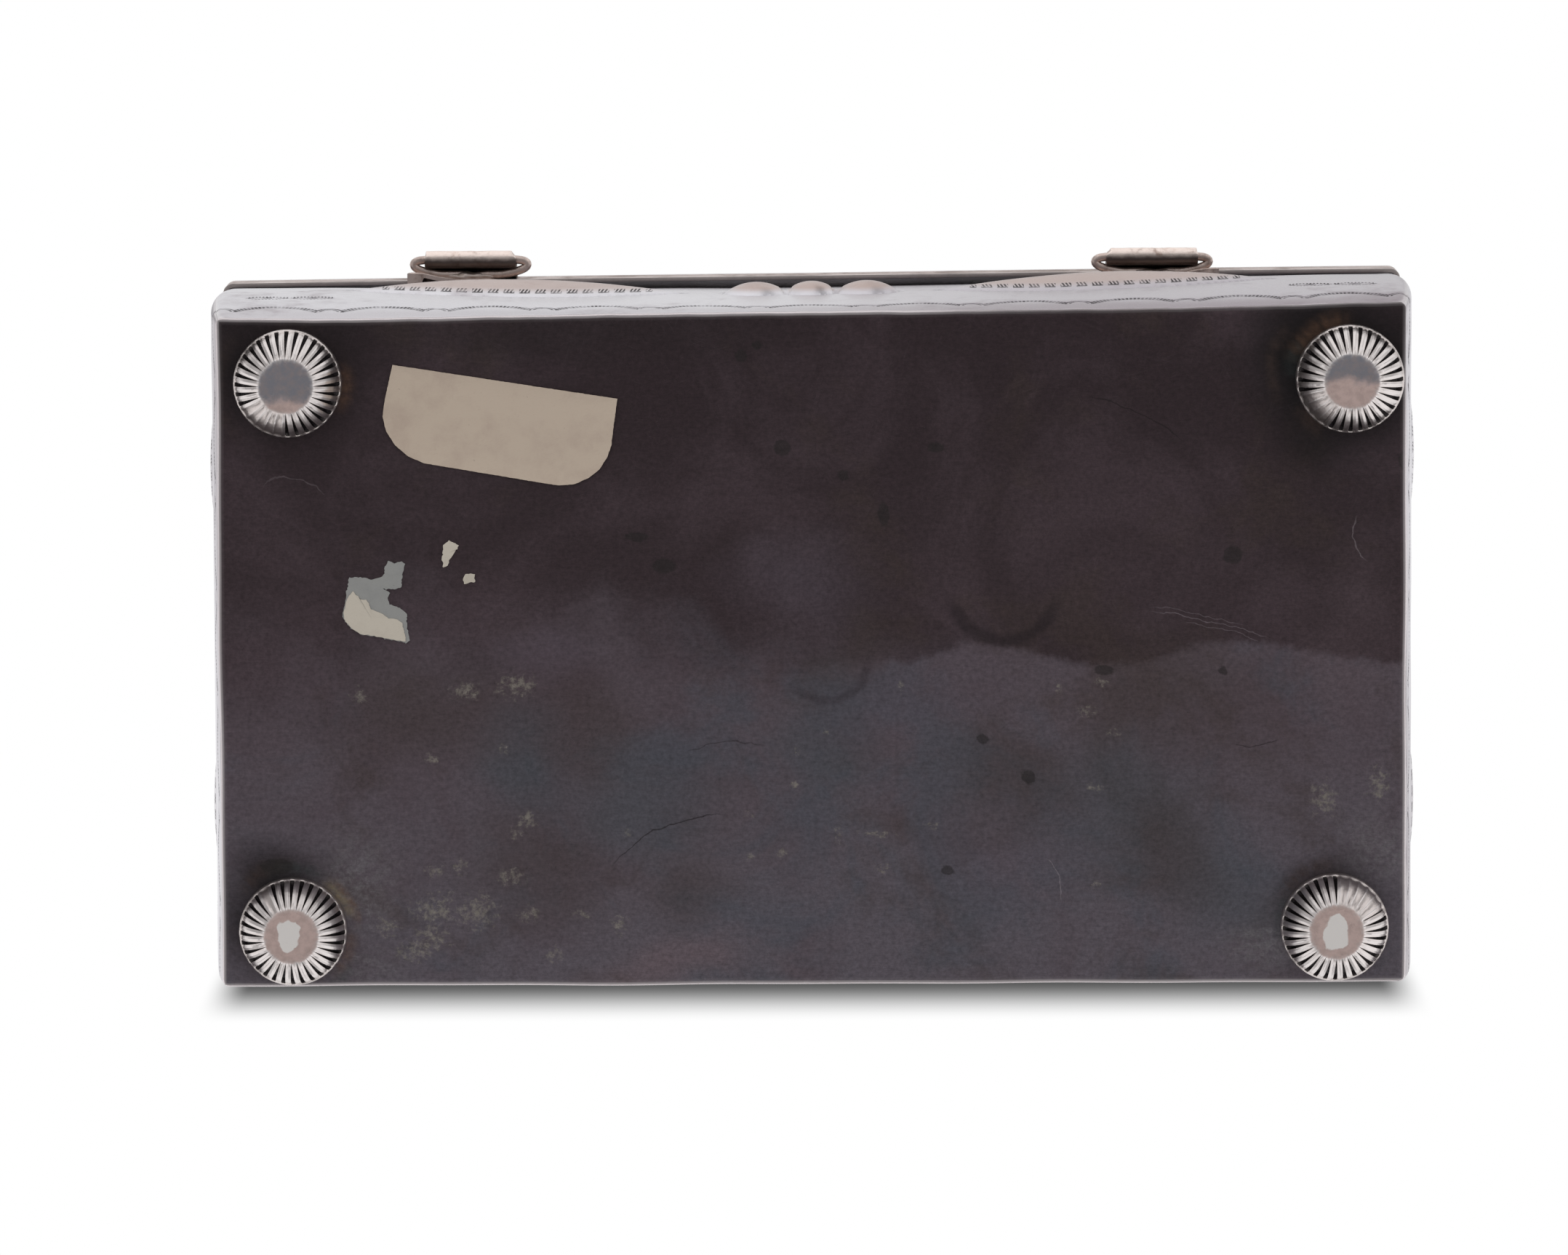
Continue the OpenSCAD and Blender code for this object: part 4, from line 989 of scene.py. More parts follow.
def wall_grid(length, levels, columns, middle_swell, forms, inner):
    """Points of one face of a wall: along it, out from the edge of the bottom, and up, then the height of its
    leaves and domes, and the depth of its chased lines."""
    t = np.linspace(-1, 1, columns)
    z = levels[:, None]
    full = SWELL * (1 - ((z - WALL_H / 2) / (WALL_H / 2)) ** 2)
    r = (0.8 + 1.1 * smooth(z, 0, 12)) if not inner else np.full_like(z, 0.02)
    out_by = SHEET if inner else 0.0
    half = length / 2 + full - out_by
    straight = half - r
    total = straight + r * math.pi / 4 * (0 if inner else 1)
    q = t[None, :] * total
    phi = np.clip((np.abs(q) - straight) / r, 0, math.pi / 4) * (0 if inner else 1)
    along = np.where(np.abs(q) <= straight, q, np.sign(q) * (straight + r * np.sin(phi)))
    if inner:
        along = q * half / total
    share = middle_swell + (SWELL - middle_swell) * smooth(np.abs(along), 4, 62)
    out = full * share / SWELL - out_by + np.where(phi > 0, r * (np.cos(phi) - 1), 0)
    zz = z + 0 * along
    rise = np.zeros_like(along)
    chased = np.zeros_like(along)
    local = AT_RELIEF * share
    for kind, place, across, tall, crest in forms:
        for side in ((-1, 1) if place else (1,)):
            u, v = along - side * place, zz - RELIEF_Z
            relief = crest - float(np.interp(place, along[-1][columns // 2:], local[-1][columns // 2:]))
            made, off = (leaf_rise(u, v, across, tall, relief) if kind == "leaf"
                         else dome_rise(u, v, across, relief))
            rise = np.maximum(rise, made)
            chased = np.maximum(chased, groove(off - 0.3, 0.32, 0.2))
    return along, out, zz, rise, chased


def build_wall(name, node, turn, away, length, columns, middle_swell, forms, eyes, material, bottom_shift):
    """One wall with its raised work, stamps, thickness and mitred ends, set on the bottom plate."""
    sheets = []
    for levels, inner in ((WALL_ROWS, False), (INNER_ROWS, True)):
        along, out, z, rise, chased = wall_grid(length, levels, columns, middle_swell, forms, inner)
        if not inner:
            ends = smooth(length / 2 - np.abs(along), 0.5, 2.0)
            stamped = border_press(along, z) + sum(eye_press(along, z, place) for place in eyes)
            out = out + rise - (chased + stamped * ends) + dents(along, z, 17, 0.025, len(name)) * ends
            out = out - 0.1 * (smooth(z, WALL_H - 0.4, WALL_H) + smooth(-z, -0.2, 0.0))
            uv, raised = np.stack([along, z], -1), rise
        else:
            out = out + rise * 0.9
        out = out + bottom_shift(along) * np.exp(-z / 7)
        c, s = math.cos(math.radians(turn)), math.sin(math.radians(turn))
        x, y = along * c - (away + out) * s, along * s + (away + out) * c
        sheets.append(np.stack([x, y + MIDDLE_Y, z + FLOOR_Z], -1))
    points, faces = two_faced(hand_skew(sheets[0]), hand_skew(sheets[1]))
    blank = sheets[1].size // 3
    uv = np.concatenate([uv.reshape(-1, 2), np.tile(INNER_UV, (blank, 1))])
    raised = np.concatenate([raised.ravel(), np.zeros(blank)])
    make_piece(name, points, faces, material, "box", "wall_silver", [node], uv=uv, marks={"raised": raised})


# %% Four walls
LEAF, SHORT_LEAF = (34.2, 38.8, 12.0), (20.0, 15.0, 10.0)  # place, length and height of a leaf
LONG_EYES, SHORT_EYES = (57.7, 62.9), (33.0,)
long_silver = silver(
    "long_wall_silver", srgb(214, 212, 217), srgb(160, 150, 155), 0.5, 0.24,
    wall_stamps(LEAF[0], arc_of(*LEAF[1:]), LEAF[2], LONG_EYES), cloud=0.06, grain=0.006, band=wall_band(0.85))
short_silver = silver(
    "short_wall_silver", srgb(214, 211, 217), srgb(162, 152, 158), 0.48, 0.24,
    wall_stamps(SHORT_LEAF[0], arc_of(*SHORT_LEAF[1:]), SHORT_LEAF[2], SHORT_EYES), cloud=0.06, grain=0.006,
    band=wall_band(0.5))
# kind, place, size, and how far its crest stands out from the edge of the bottom
BACK_FORMS = [("leaf", *LEAF, 2.66), ("dome", 6.4, 7.4, 7.4, 2.0), ("dome", 0, 6.3, 6.3, 2.05)]
FRONT_FORMS = [("leaf", *LEAF, 2.66), ("dome", 6.4, 7.4, 7.4, 2.6), ("dome", 0, 6.3, 6.3, 2.6)]
SIDE_FORMS = [("leaf", *SHORT_LEAF, 2.16)]
BACK_SWELL, FRONT_SWELL = 0.7, 1.5  # in their middles
LONG_COLUMNS, SHORT_COLUMNS = 600, 340
build_wall("back_wall_sheet", "back_wall", 0, BOX_D / 2, BOX_W, LONG_COLUMNS, BACK_SWELL, BACK_FORMS,
           LONG_EYES, long_silver, back_edge)
build_wall("front_wall_sheet", "front_wall", 180, BOX_D / 2, BOX_W, LONG_COLUMNS, FRONT_SWELL, FRONT_FORMS,
           LONG_EYES, long_silver, lambda u: side_edge(-u, 11))
build_wall("right_wall_sheet", "right_wall", -90, BOX_W / 2, BOX_D, SHORT_COLUMNS, SWELL, SIDE_FORMS,
           SHORT_EYES, short_silver, lambda u: side_edge(-u, 12))
build_wall("left_wall_sheet", "left_wall", 90, BOX_W / 2, BOX_D, SHORT_COLUMNS, SWELL, SIDE_FORMS,
           SHORT_EYES, short_silver, lambda u: side_edge(u, 13))

# %% [markdown]
# ## Feet
# The feet are fluted buttons: half balls struck in a die, with thirty-two ribs that run from a thin plain
# rim towards the tip. Standing on them has worn the tips flat. Ribs that repeat round a turned form follow a
# rule, so Geometry Nodes shape them: a flat grid is bent into the button, and each point sinks if it
# lies in a flute. Flutes get narrower towards the tip, so the columns of the grid slide to stay on their
# edges. The tree also writes how deep a point lies in a flute, and the silver keeps its black there.


# %% Geometry Nodes tools
def shape_tree(name, inputs):
    """A new geometry tree with named inputs: numbers, whole numbers or a material, after the shape itself."""
    tree = bpy.data.node_groups.new(name, "GeometryNodeTree")
    tree.interface.new_socket("Geometry", in_out="INPUT", socket_type="NodeSocketGeometry")
    tree.interface.new_socket("Geometry", in_out="OUTPUT", socket_type="NodeSocketGeometry")
    kinds = {float: "NodeSocketFloat", int: "NodeSocketInt", bpy.types.Material: "NodeSocketMaterial"}
    sockets = {}
    for label, kind in inputs.items():
        sockets[label] = tree.interface.new_socket(label, in_out="INPUT", socket_type=kinds[kind]).identifier
    g = Wiring(tree)
    return tree, g, g.add("NodeGroupInput").outputs, sockets


def end_shape(g, geometry, material):
    """Every tree ends alike: real geometry with its material."""
    real = g.add("GeometryNodeRealizeInstances", {0: geometry}).outputs[0]
    dressed = g.add("GeometryNodeSetMaterial", {"Geometry": real, "Material": material}).outputs[0]
    g.add("NodeGroupOutput", {0: dressed})


def grow(name, tree, sockets, values, base=None):
    """Runs a geometry tree on a base mesh or curve and returns the result as a plain mesh."""
    holder = bpy.data.objects.new(name, base or bpy.data.meshes.new(name))
    bpy.context.scene.collection.objects.link(holder)
    modifier = holder.modifiers.new("shape", "NODES")
    modifier.node_group = tree
    for label, value in values.items():
        modifier[sockets[label]] = value
    bpy.context.view_layer.update()
    graph = bpy.context.evaluated_depsgraph_get()
    mesh = bpy.data.meshes.new_from_object(holder.evaluated_get(graph))
    holder.modifiers.remove(modifier)
    bpy.data.objects.remove(holder)
    return mesh


# %% Fluted button: the flutes
FLUTES, COLUMNS, DOWN = 32, 12, 46
FLAT_FROM = 0.8  # the share of the grid's length that makes the ball. The rest closes the worn tip.
button, g, given, button_sockets = shape_tree("fluted button", {
    "Radius": float, "Height": float, "Rim": float, "Flutes": int, "Flute Depth": float, "Filled Turn": float,
    "Filled Width": float, "Seed": float, "Silver": bpy.types.Material})
sheet = g.add("GeometryNodeMeshGrid", {
    "Size X": 1.0, "Size Y": 1.0, "Vertices X": FLUTES * COLUMNS + 1, "Vertices Y": DOWN})
gx, gy, _ = g.apart(g.add("GeometryNodeInputPosition").outputs[0])
turn = g.product(g.calc("ADD", gx, 0.5), 2 * math.pi)
t = g.calc("ADD", gy, 0.5)
last = g.calc("ARCSINE", g.calc("DIVIDE", given["Height"], given["Radius"]))
lat = g.product(g.calc("MINIMUM", g.calc("DIVIDE", t, FLAT_FROM), 1.0), last)
depth_down = g.product(given["Radius"], g.calc("SINE", lat))
down = g.calc("DIVIDE", lat, last)
cell = g.calc("FRACT", g.calc("ADD", g.product(g.calc("DIVIDE", turn, 2 * math.pi), given["Flutes"]), 0.5))
side = g.calc("SUBTRACT", cell, 0.5)
even = g.product(g.calc("ABSOLUTE", side), 2.0)
half = g.calc("SUBTRACT", 1.0, g.calc("DIVIDE", 0.485, g.calc("COSINE", lat)))
half = g.calc("MAXIMUM", g.product(half, 0.88), 0.04)
near = g.product(g.calc("MINIMUM", even, 0.5), g.product(half, 2.0))
beyond = g.product(g.calc("MAXIMUM", g.calc("SUBTRACT", even, 0.5), 0.0),
                   g.calc("SUBTRACT", 2.0, g.product(half, 2.0)))
off = g.calc("ADD", near, beyond)
slid = g.product(g.calc("SUBTRACT", off, even), g.calc("SIGN", side))
turn = g.calc("ADD", turn, g.product(slid, g.calc("DIVIDE", math.pi, given["Flutes"])))
start = g.step(depth_down, given["Rim"], g.product(given["Rim"], 1.08))
ending = g.step(down, 0.99, 0.88)
filled_off = g.calc("WRAP", g.calc("SUBTRACT", turn, given["Filled Turn"]), math.pi, -math.pi)
filled_off = g.calc("ABSOLUTE", filled_off)
open_part = g.step(filled_off, given["Filled Width"], g.product(given["Filled Width"], 1.5))
flute = g.product(g.product(g.step(even, 0.5, 0.3), start), g.product(ending, open_part))
print(FLUTES, "flutes,", COLUMNS, "columns for each")

# %% Fluted button: the form
fading = g.calc("SUBTRACT", 1.0, g.product(down, 0.45))
deep = g.product(flute, given["Flute Depth"], fading)
crown = g.product(g.product(off, off), g.product(start, ending))
shoulder = g.product(g.calc("SUBTRACT", 1.0, crown), 0.1 * MM, g.product(start, ending))
place = g.add("ShaderNodeCombineXYZ", {
    0: g.calc("COSINE", turn), 1: g.calc("SINE", turn), 2: g.calc("ADD", t, given["Seed"])}).outputs[0]
uneven = g.product(g.calc("SUBTRACT", g.noise(place, 2.2, 3.0), 0.5), 0.22 * MM, g.step(down, 0.0, 0.2))
lost = g.calc("ADD", shoulder, g.calc("ABSOLUTE", uneven))
ball = g.calc("SUBTRACT", g.calc("SUBTRACT", given["Radius"], deep), lost)
rho = g.product(ball, g.calc("COSINE", lat))
collar = g.product(g.calc("SUBTRACT", given["Radius"], rho),
                   g.step(depth_down, given["Rim"], g.product(given["Rim"], 0.84)))
flat = g.calc("MAXIMUM", g.calc("DIVIDE", g.calc("SUBTRACT", t, FLAT_FROM), 1 - FLAT_FROM), 0.0)
rho = g.product(g.calc("ADD", rho, collar), g.calc("SUBTRACT", 1.0, flat))
low = g.calc("MAXIMUM", g.calc("SUBTRACT", given["Height"], g.product(ball, g.calc("SINE", lat))), 0.0)
low = g.product(low, g.step(t, 0.83, 0.79))
edge = g.product(g.step(g.calc("ABSOLUTE", g.calc("SUBTRACT", t, FLAT_FROM)), 0.03, 0.0), 0.06 * MM)
moved_to = g.add("ShaderNodeCombineXYZ", {
    0: g.product(rho, g.calc("COSINE", turn)), 1: g.product(rho, g.calc("SINE", turn)),
    2: g.calc("ADD", low, edge)}).outputs[0]
marked = g.add("GeometryNodeStoreNamedAttribute",
               {"Geometry": sheet.outputs[0], "Name": "flute", "Value": flute},
               data_type="FLOAT", domain="POINT").outputs[0]
bent = g.add("GeometryNodeSetPosition", {"Geometry": marked, "Position": moved_to}).outputs[0]
joined = g.add("GeometryNodeMergeByDistance", {"Geometry": bent, "Distance": 1e-6}).outputs[0]
end_shape(g, joined, given["Silver"])
print("fluted button:", len(button.nodes), "nodes")


# %% Silver of the feet
def foot_marks(w, mm):
    """Black in the flutes."""
    return w.product(w.step(w.painted("flute"), 0.04, 0.3),
                     w.calc("ADD", 0.8, w.product(w.noise(mm, 0.8, 2.0), 0.55)))


def foot_tip(w, mm, colour):
    """The worn tips are scratched and dull: grey above, pinkish below, and two have a whitish spot."""
    x, y, z = w.apart(mm)
    tip = w.step(w.calc("ADD", z, w.product(w.calc("SUBTRACT", w.noise(mm, 1.4, 3.0), 0.5), 0.25)), 0.22, 0.02)
    level = w.calc("ADD", y, w.product(w.calc("SUBTRACT", w.noise(mm, 0.55, 4.0), 0.5), 3.0))
    level = w.calc("ADD", level, w.product(w.step(x, 0.0, 10.0), 1.6))
    worn = w.mix(w.step(level, 29.2, 30.6), srgb(192, 168, 162), srgb(116, 116, 124))
    cloudy = w.step(w.noise(mm, 0.9, 5.0, 0.65), 0.38, 0.66)
    worn = w.mix(w.product(cloudy, 0.4), worn, srgb(146, 128, 122))
    rubs = w.group(SCRATCHES, {"Vector": mm, "Size": 6.0, "Amount": 1.0})["Mask"]
    worn = w.mix(w.product(rubs, 0.3), worn, srgb(92, 84, 82))
    colour = w.mix(w.product(tip, 0.95), colour, worn)
    for foot, (dx, dy) in {"foot_front_right": (0.3, 0.2), "foot_front_left": (0.2, 0.0)}.items():
        local = w.add("ShaderNodeVectorMath", {0: mm, 1: (FEET[foot][0] + dx, FEET[foot][1] + dy, 0)},
                      operation="SUBTRACT").outputs[0]
        local = w.place(local, turn=(0, 0, 0.3), scale=(1.2, 0.85, 0))
        far = w.add("ShaderNodeVectorMath", {0: local}, operation="LENGTH").outputs["Value"]
        far = w.calc("ADD", far, w.product(w.calc("SUBTRACT", w.noise(mm, 0.5, 3.0), 0.5), 1.8))
        colour = w.mix(w.product(w.step(far, 1.75, 1.55), tip, 0.95), colour, srgb(226, 222, 219))
    return colour, w.calc("SUBTRACT", 1.0, w.product(tip, 0.6))


foot_silver = silver("foot_silver", srgb(206, 197, 194), srgb(150, 132, 128), 0.4, 0.26, foot_marks, cloud=0.25,
                     wear=0.5, hollow=0.7, last=foot_tip)

# %% Four feet
foot_r = (box_mm("foot_back_left")[1][0] - box_mm("foot_back_left")[0][0]) / 2
# where solder has filled some flutes of each foot, and how far to each side, in radians
FILLED = {"foot_back_right": (5.3, 0.42), "foot_back_left": (5.6, 0.3), "foot_front_left": (2.2, 0.5),
          "foot_front_right": (1.0, 0.05)}
for number, (foot, centre) in enumerate(FEET.items()):
    mesh = grow(foot, button, button_sockets, {
        "Radius": float(foot_r * MM), "Height": float(plate_low[2] * MM), "Rim": 1.55 * MM, "Flutes": FLUTES,
        "Flute Depth": 0.5 * MM, "Filled Turn": FILLED[foot][0], "Filled Width": FILLED[foot][1],
        "Seed": 3.0 * number, "Silver": foot_silver})
    co = np.zeros(3 * len(mesh.vertices))
    mesh.vertices.foreach_get("co", co)
    co = co.reshape(-1, 3) + np.array([centre[0] * MM, centre[1] * MM, 0])
    mesh.vertices.foreach_set("co", co.ravel())
    finish_piece(foot + "_button", mesh, foot_silver, "box", [foot], crease=50)

# %% [markdown]
# ## Hinges
# A hinge here is as simple as one can be. A strip of sheet is soldered to the back wall, a ring of round
# wire is soldered to the strip, and a strap of sheet comes down from the lid through the ring and goes back
# up round its outer side, so the lid turns on the ring's outer bar. Strips and straps are drawn through
# cross sections in mesh code. Each was cut and bent by eye, so no end is straight.


# %% Lofts and bent lines
def lofted(rings, hoop=False):
    """Points and faces of a form drawn through rings of points. Its ends are closed, or joined into a hoop."""
    rings = np.asarray(rings, float)
    rows, columns = rings.shape[:2]
    faces, last = grid_faces(rows, columns, closed=True), (rows - 1) * columns
    if hoop:
        faces += [[last + j, last + (j + 1) % columns, (j + 1) % columns, j] for j in range(columns)]
    else:
        faces += [list(range(columns))[::-1], list(range(last, last + columns))]
    return rings.reshape(-1, 3), faces


def rounded_line(points, times=3):
    """A bent line whose corners are cut off again and again until they are round."""
    points = np.array(points, float)
    for _ in range(times):
        a, b = points[:-1], points[1:]
        cut = np.stack([0.75 * a + 0.25 * b, 0.25 * a + 0.75 * b], 1).reshape(-1, 2)
        points = np.concatenate([points[:1], cut, points[-1:]])
    return points


def both_sides(line, thickness):
    """The closed outline of a strip of sheet that follows a line."""
    along = np.gradient(line, axis=0)
    along /= np.linalg.norm(along, axis=1, keepdims=True)
    normal = np.stack([-along[:, 1], along[:, 0]], -1)
    half = thickness / 2 * np.ones((len(line), 1))
    return np.concatenate([line + half * normal, (line - half * normal)[::-1]])


# %% Hinge sizes
ring_low, ring_high = box_mm("hinge_ring_right")
WIRE_R = (ring_high - ring_low)[2] / 2
HINGE_X = (ring_high + ring_low)[0] / 2
AXIS_Y, AXIS_Z = ring_high[1] - WIRE_R, ring_high[2] - WIRE_R
RING_HALF = (ring_high - ring_low)[0] / 2 - WIRE_R
RING_PITCH = (ring_high - ring_low)[1] - 2 * WIRE_R
RING_SEAT = AXIS_Y - RING_PITCH - WIRE_R
STRAP_T, STRAP_HALF = 0.5, 5.4
print(f"hinges at x {HINGE_X:.1f}, axis y {AXIS_Y:.2f} z {AXIS_Z:.2f},",
      f"ring {RING_HALF:.2f} by {RING_PITCH:.2f}")

# %% [markdown]
# The hinges were never polished like the walls: they are warm, pinkish brown silver, dark where a finger
# can't reach, with a copper tint where the solder ran. The straps carry painted light: a brighter clean colour
# as a painted highlight on each bend, and painted shade, nearly black, on the side that faces the wall. The
# solder itself is a dull grey.


# %% Silver of the hinges and the solder
def coppery(w, mm, colour):
    """Copper shows in patches."""
    copper = w.step(w.noise(mm, 0.6, 4.0), 0.56, 0.74)
    return w.mix(w.product(copper, 0.28), colour, srgb(186, 146, 124))


def strap_painted_shade(w, mm, colour):
    """Copper patches, and painted shade: the side of a strap that faces the wall is painted nearly black, over
    some dark tarnish.
    """
    y = w.apart(mm)[1]
    edge = w.product(w.calc("SUBTRACT", w.noise(mm, 0.7, 3.0), 0.5), 0.5)
    inside = w.step(w.calc("ADD", y, edge), AXIS_Y + 0.55, AXIS_Y - 0.2)
    return w.mix(w.product(inside, 0.9), coppery(w, mm, colour), srgb(54, 44, 40)), 1.0


hinge_silver = silver("hinge_silver", srgb(204, 186, 178), srgb(142, 120, 110), 0.55, 0.3, cloud=0.4, wear=0.08,
                      hollow=0.8, grain=0.03, band=coppery)
# painted highlight: the strap's clean colour is brighter than the hinge silver's, so each bend looks lit; its
# wall side gets painted shade
strap_silver_and_painted_light = silver("strap_silver_and_painted_light", srgb(244, 228, 220), srgb(170, 146, 136), 0.5, 0.32, cloud=0.4, wear=0.05,
                      hollow=0.8, grain=0.03, last=strap_painted_shade)
solder = silver("solder", srgb(186, 170, 160), srgb(126, 112, 102), 0.5, 0.38, cloud=0.6, wear=0.2, hollow=0.8,
                grain=0.05)


# %% Base strips
def wall_face(x, z):
    """The outer face of the back wall at a place of the box."""
    full = SWELL * (1 - ((z - FLOOR_Z - WALL_H / 2) / (WALL_H / 2)) ** 2)
    share = BACK_SWELL + (SWELL - BACK_SWELL) * smooth(np.abs(x), 4, 62)
    y = BOX_D / 2 + MIDDLE_Y + full * share / SWELL
    return hand_skew(np.stack([x, y, z], -1))[..., 1]


STRIP_LOW, STRIP_TOP, STRIP_H = AXIS_Z - 3.2, AXIS_Z + 0.5, 3.7
for side, name, reach in ((1, "hinge_base_right", 7.3), (-1, "hinge_base_left", 7.7)):
    s, t = np.meshgrid(np.linspace(0, 1, 14), np.linspace(0, 1, 90), indexing="ij")
    cut_far, cut_near = ripple(s * STRIP_H, 1.6, 0.16, 5 + side), ripple(s * STRIP_H, 2.3, 0.12, 9 + side)
    u = (-7.2 + cut_near) * (1 - t) + (reach + cut_far) * t
    z_low = STRIP_LOW + ripple(t * 15, 6, 0.12, 20 + side) + 0.5 * smooth(u, 5.5, 7.5)
    z = z_low * (1 - s) + (STRIP_TOP - 0.3 * smooth(-u, 4, 7)) * s
    x = side * (HINGE_X + u)
    face = wall_face(x, z)
    stand = (RING_SEAT - wall_face(np.array(side * HINGE_X), np.array(AXIS_Z))) * np.ones_like(u)
    stand = stand * (1 - 0.45 * smooth(-u, 2.5, 7)) + 0.68 * smooth(u, 1.2, 6.5) + ripple(u, 5, 0.04, 31 + side)
    edge = np.minimum(np.minimum(s, 1 - s) * STRIP_H, np.minimum(u - u[:, :1], u[:, -1:] - u))
    outer = face + stand - 0.14 * (1 - smooth(edge, 0, 0.25))
    gap = smooth(u, 0.4, 1.6) * smooth(5.9 - u, 0, 0.5) * smooth(1 - s, 0.15, 0.4)
    inner = np.where(gap > 0, (face - 0.1) * (1 - gap) + (outer - 0.45) * gap, face - 0.1)
    points, faces = two_faced(np.stack([x, outer, z], -1), np.stack([x, inner, z], -1))
    make_piece(name + "_strip", points, faces, hinge_silver, "box", "hinge_silver", [name])

# %% [markdown]
# The ring is a wire that follows a path, so Geometry Nodes sweep a round profile along it. The maker
# thinned the two ends of the wire, brought them together on the strip and ran solder over them. The tree
# thins the wire near both ends and lets its thickness wander a little.

# %% Swept wire
link, g, given, link_sockets = shape_tree("swept wire", {
    "Wire Radius": float, "Thinned": float, "Thin Length": float, "Unevenness": float, "Seed": float,
    "Silver": bpy.types.Material})
path = g.add("GeometryNodeMeshToCurve", {0: given["Geometry"]}).outputs[0]
path = g.add("GeometryNodeResampleCurve", {"Curve": path, "Count": 170}).outputs[0]
gone = g.add("GeometryNodeSplineParameter").outputs["Length"]
whole = g.add("GeometryNodeSplineLength").outputs["Length"]
to_end = g.calc("MINIMUM", gone, g.calc("SUBTRACT", whole, gone))
full = g.step(to_end, 0.0, given["Thin Length"])
thick = g.calc("ADD", given["Thinned"], g.product(g.calc("SUBTRACT", 1.0, given["Thinned"]), full))
sample = g.add("ShaderNodeCombineXYZ", {0: g.product(gone, 700.0), 1: given["Seed"]}).outputs[0]
wander = g.product(g.calc("SUBTRACT", g.noise(sample, 1.0, 3.0), 0.5), given["Unevenness"])
thick = g.product(thick, g.calc("ADD", 1.0, wander))
profile = g.add("GeometryNodeCurvePrimitiveCircle", {
    "Resolution": 20, "Radius": given["Wire Radius"]}).outputs[0]
swept = g.add("GeometryNodeCurveToMesh", {
    "Curve": path, "Profile Curve": profile, "Scale": thick, "Fill Caps": True}).outputs[0]
end_shape(g, swept, given["Silver"])
print("swept wire:", len(link.nodes), "nodes")


# %% Rings
def ring_path(meet):
    """The middle line of a ring's wire, in XY from the hinge axis. Its ends meet at this x."""
    bend = [(1.0, 1.0), (0.8, 0.97), (0.5, 0.86), (0.2, 0.7), (0.02, 0.56), (-0.1, 0.3), (0.05, 0.06),
            (0.35, 0.0)]
    bend = rounded_line([(RING_HALF - 3.2 * share - 0.1, -RING_PITCH * down) for share, down in bend])
    right = [(meet + 0.02, -RING_PITCH), (meet + 1.2, -RING_PITCH)] + [tuple(p) for p in bend] + [(2.0, 0.0)]
    left = [(meet - 0.02, -RING_PITCH), (meet - 1.2, -RING_PITCH)] + [(-x, y) for x, y in bend] + [(-2.0, 0.0)]
    return np.array(right + left[::-1])


flat = ring_path(meet=-0.4)
for side, name in ((1, "hinge_ring_right"), (-1, "hinge_ring_left")):
    path_mesh = bpy.data.meshes.new(name)
    path_mesh.from_pydata([((side * HINGE_X + x) * MM, (AXIS_Y + y) * MM, AXIS_Z * MM) for x, y in flat],
                          [(k, k + 1) for k in range(len(flat) - 1)], [])
    mesh = grow(name, link, link_sockets, {
        "Wire Radius": float(WIRE_R * MM), "Thinned": 0.62, "Thin Length": 1.8 * MM, "Unevenness": 0.12,
        "Seed": 5.0 + side, "Silver": hinge_silver}, path_mesh)
    finish_piece(name + "_wire", mesh, hinge_silver, "box", [name], crease=45)

# %% Solder lumps that hold the rings
SOLDER_HALF = 3.1
u = np.linspace(-SOLDER_HALF, SOLDER_HALF, 44)[:, None]
turn = np.linspace(0, 2 * math.pi, 28, endpoint=False)[None, :]
for side, name in ((1, "solder_right"), (-1, "solder_left")):
    size = np.sqrt(np.clip(1 - (u / (SOLDER_HALF + 0.04)) ** 2, 0, 1))
    size = size * (1 + 0.14 * np.sin(1.7 * u + side) + 0.05 * np.sin(4.1 * u))
    lump = 1 + 0.05 * np.sin(3 * turn + 1.4 * u) + 0.03 * np.sin(5 * turn - 3.1 * u + side)
    rings = np.stack([side * (HINGE_X + 0.2) + u + 0 * turn,
                      RING_SEAT + 0.3 + 0.52 * size * lump * np.cos(turn),
                      AXIS_Z - 0.1 + 0.72 * size * lump * np.sin(turn)], -1)
    make_piece(name, *lofted(rings), solder, "box", "hinge_silver", crease=60)

# %% Straps
top = box_mm("hinge_strap_right")[1][2] - AXIS_Z
skirt_face = lid_high[1] - AXIS_Y
bend_r = box_mm("hinge_strap_right")[1][1] - AXIS_Y - STRAP_T / 2
inner_leg, outer_leg = skirt_face + STRAP_T / 2, skirt_face + STRAP_T * 1.5
bend = [(-bend_r * math.cos(a), -bend_r * math.sin(a)) for a in np.linspace(0, math.pi, 25)]
strap_line = rounded_line([(inner_leg, top), (inner_leg, 2.2), (-bend_r, 0.6)] + bend
                          + [(bend_r, 0.6), (outer_leg, 3.8), (outer_leg, top)])
inner_stations = np.linspace(-STRAP_HALF + 0.3, STRAP_HALF - 0.3, 34)
stations = np.concatenate([[-STRAP_HALF, -STRAP_HALF + 0.05, -STRAP_HALF + 0.14], inner_stations,
                           [STRAP_HALF - 0.14, STRAP_HALF - 0.05, STRAP_HALF]])
LID_SKEW = 0.0063  # the upper part of each strap follows the lid's skewed edge
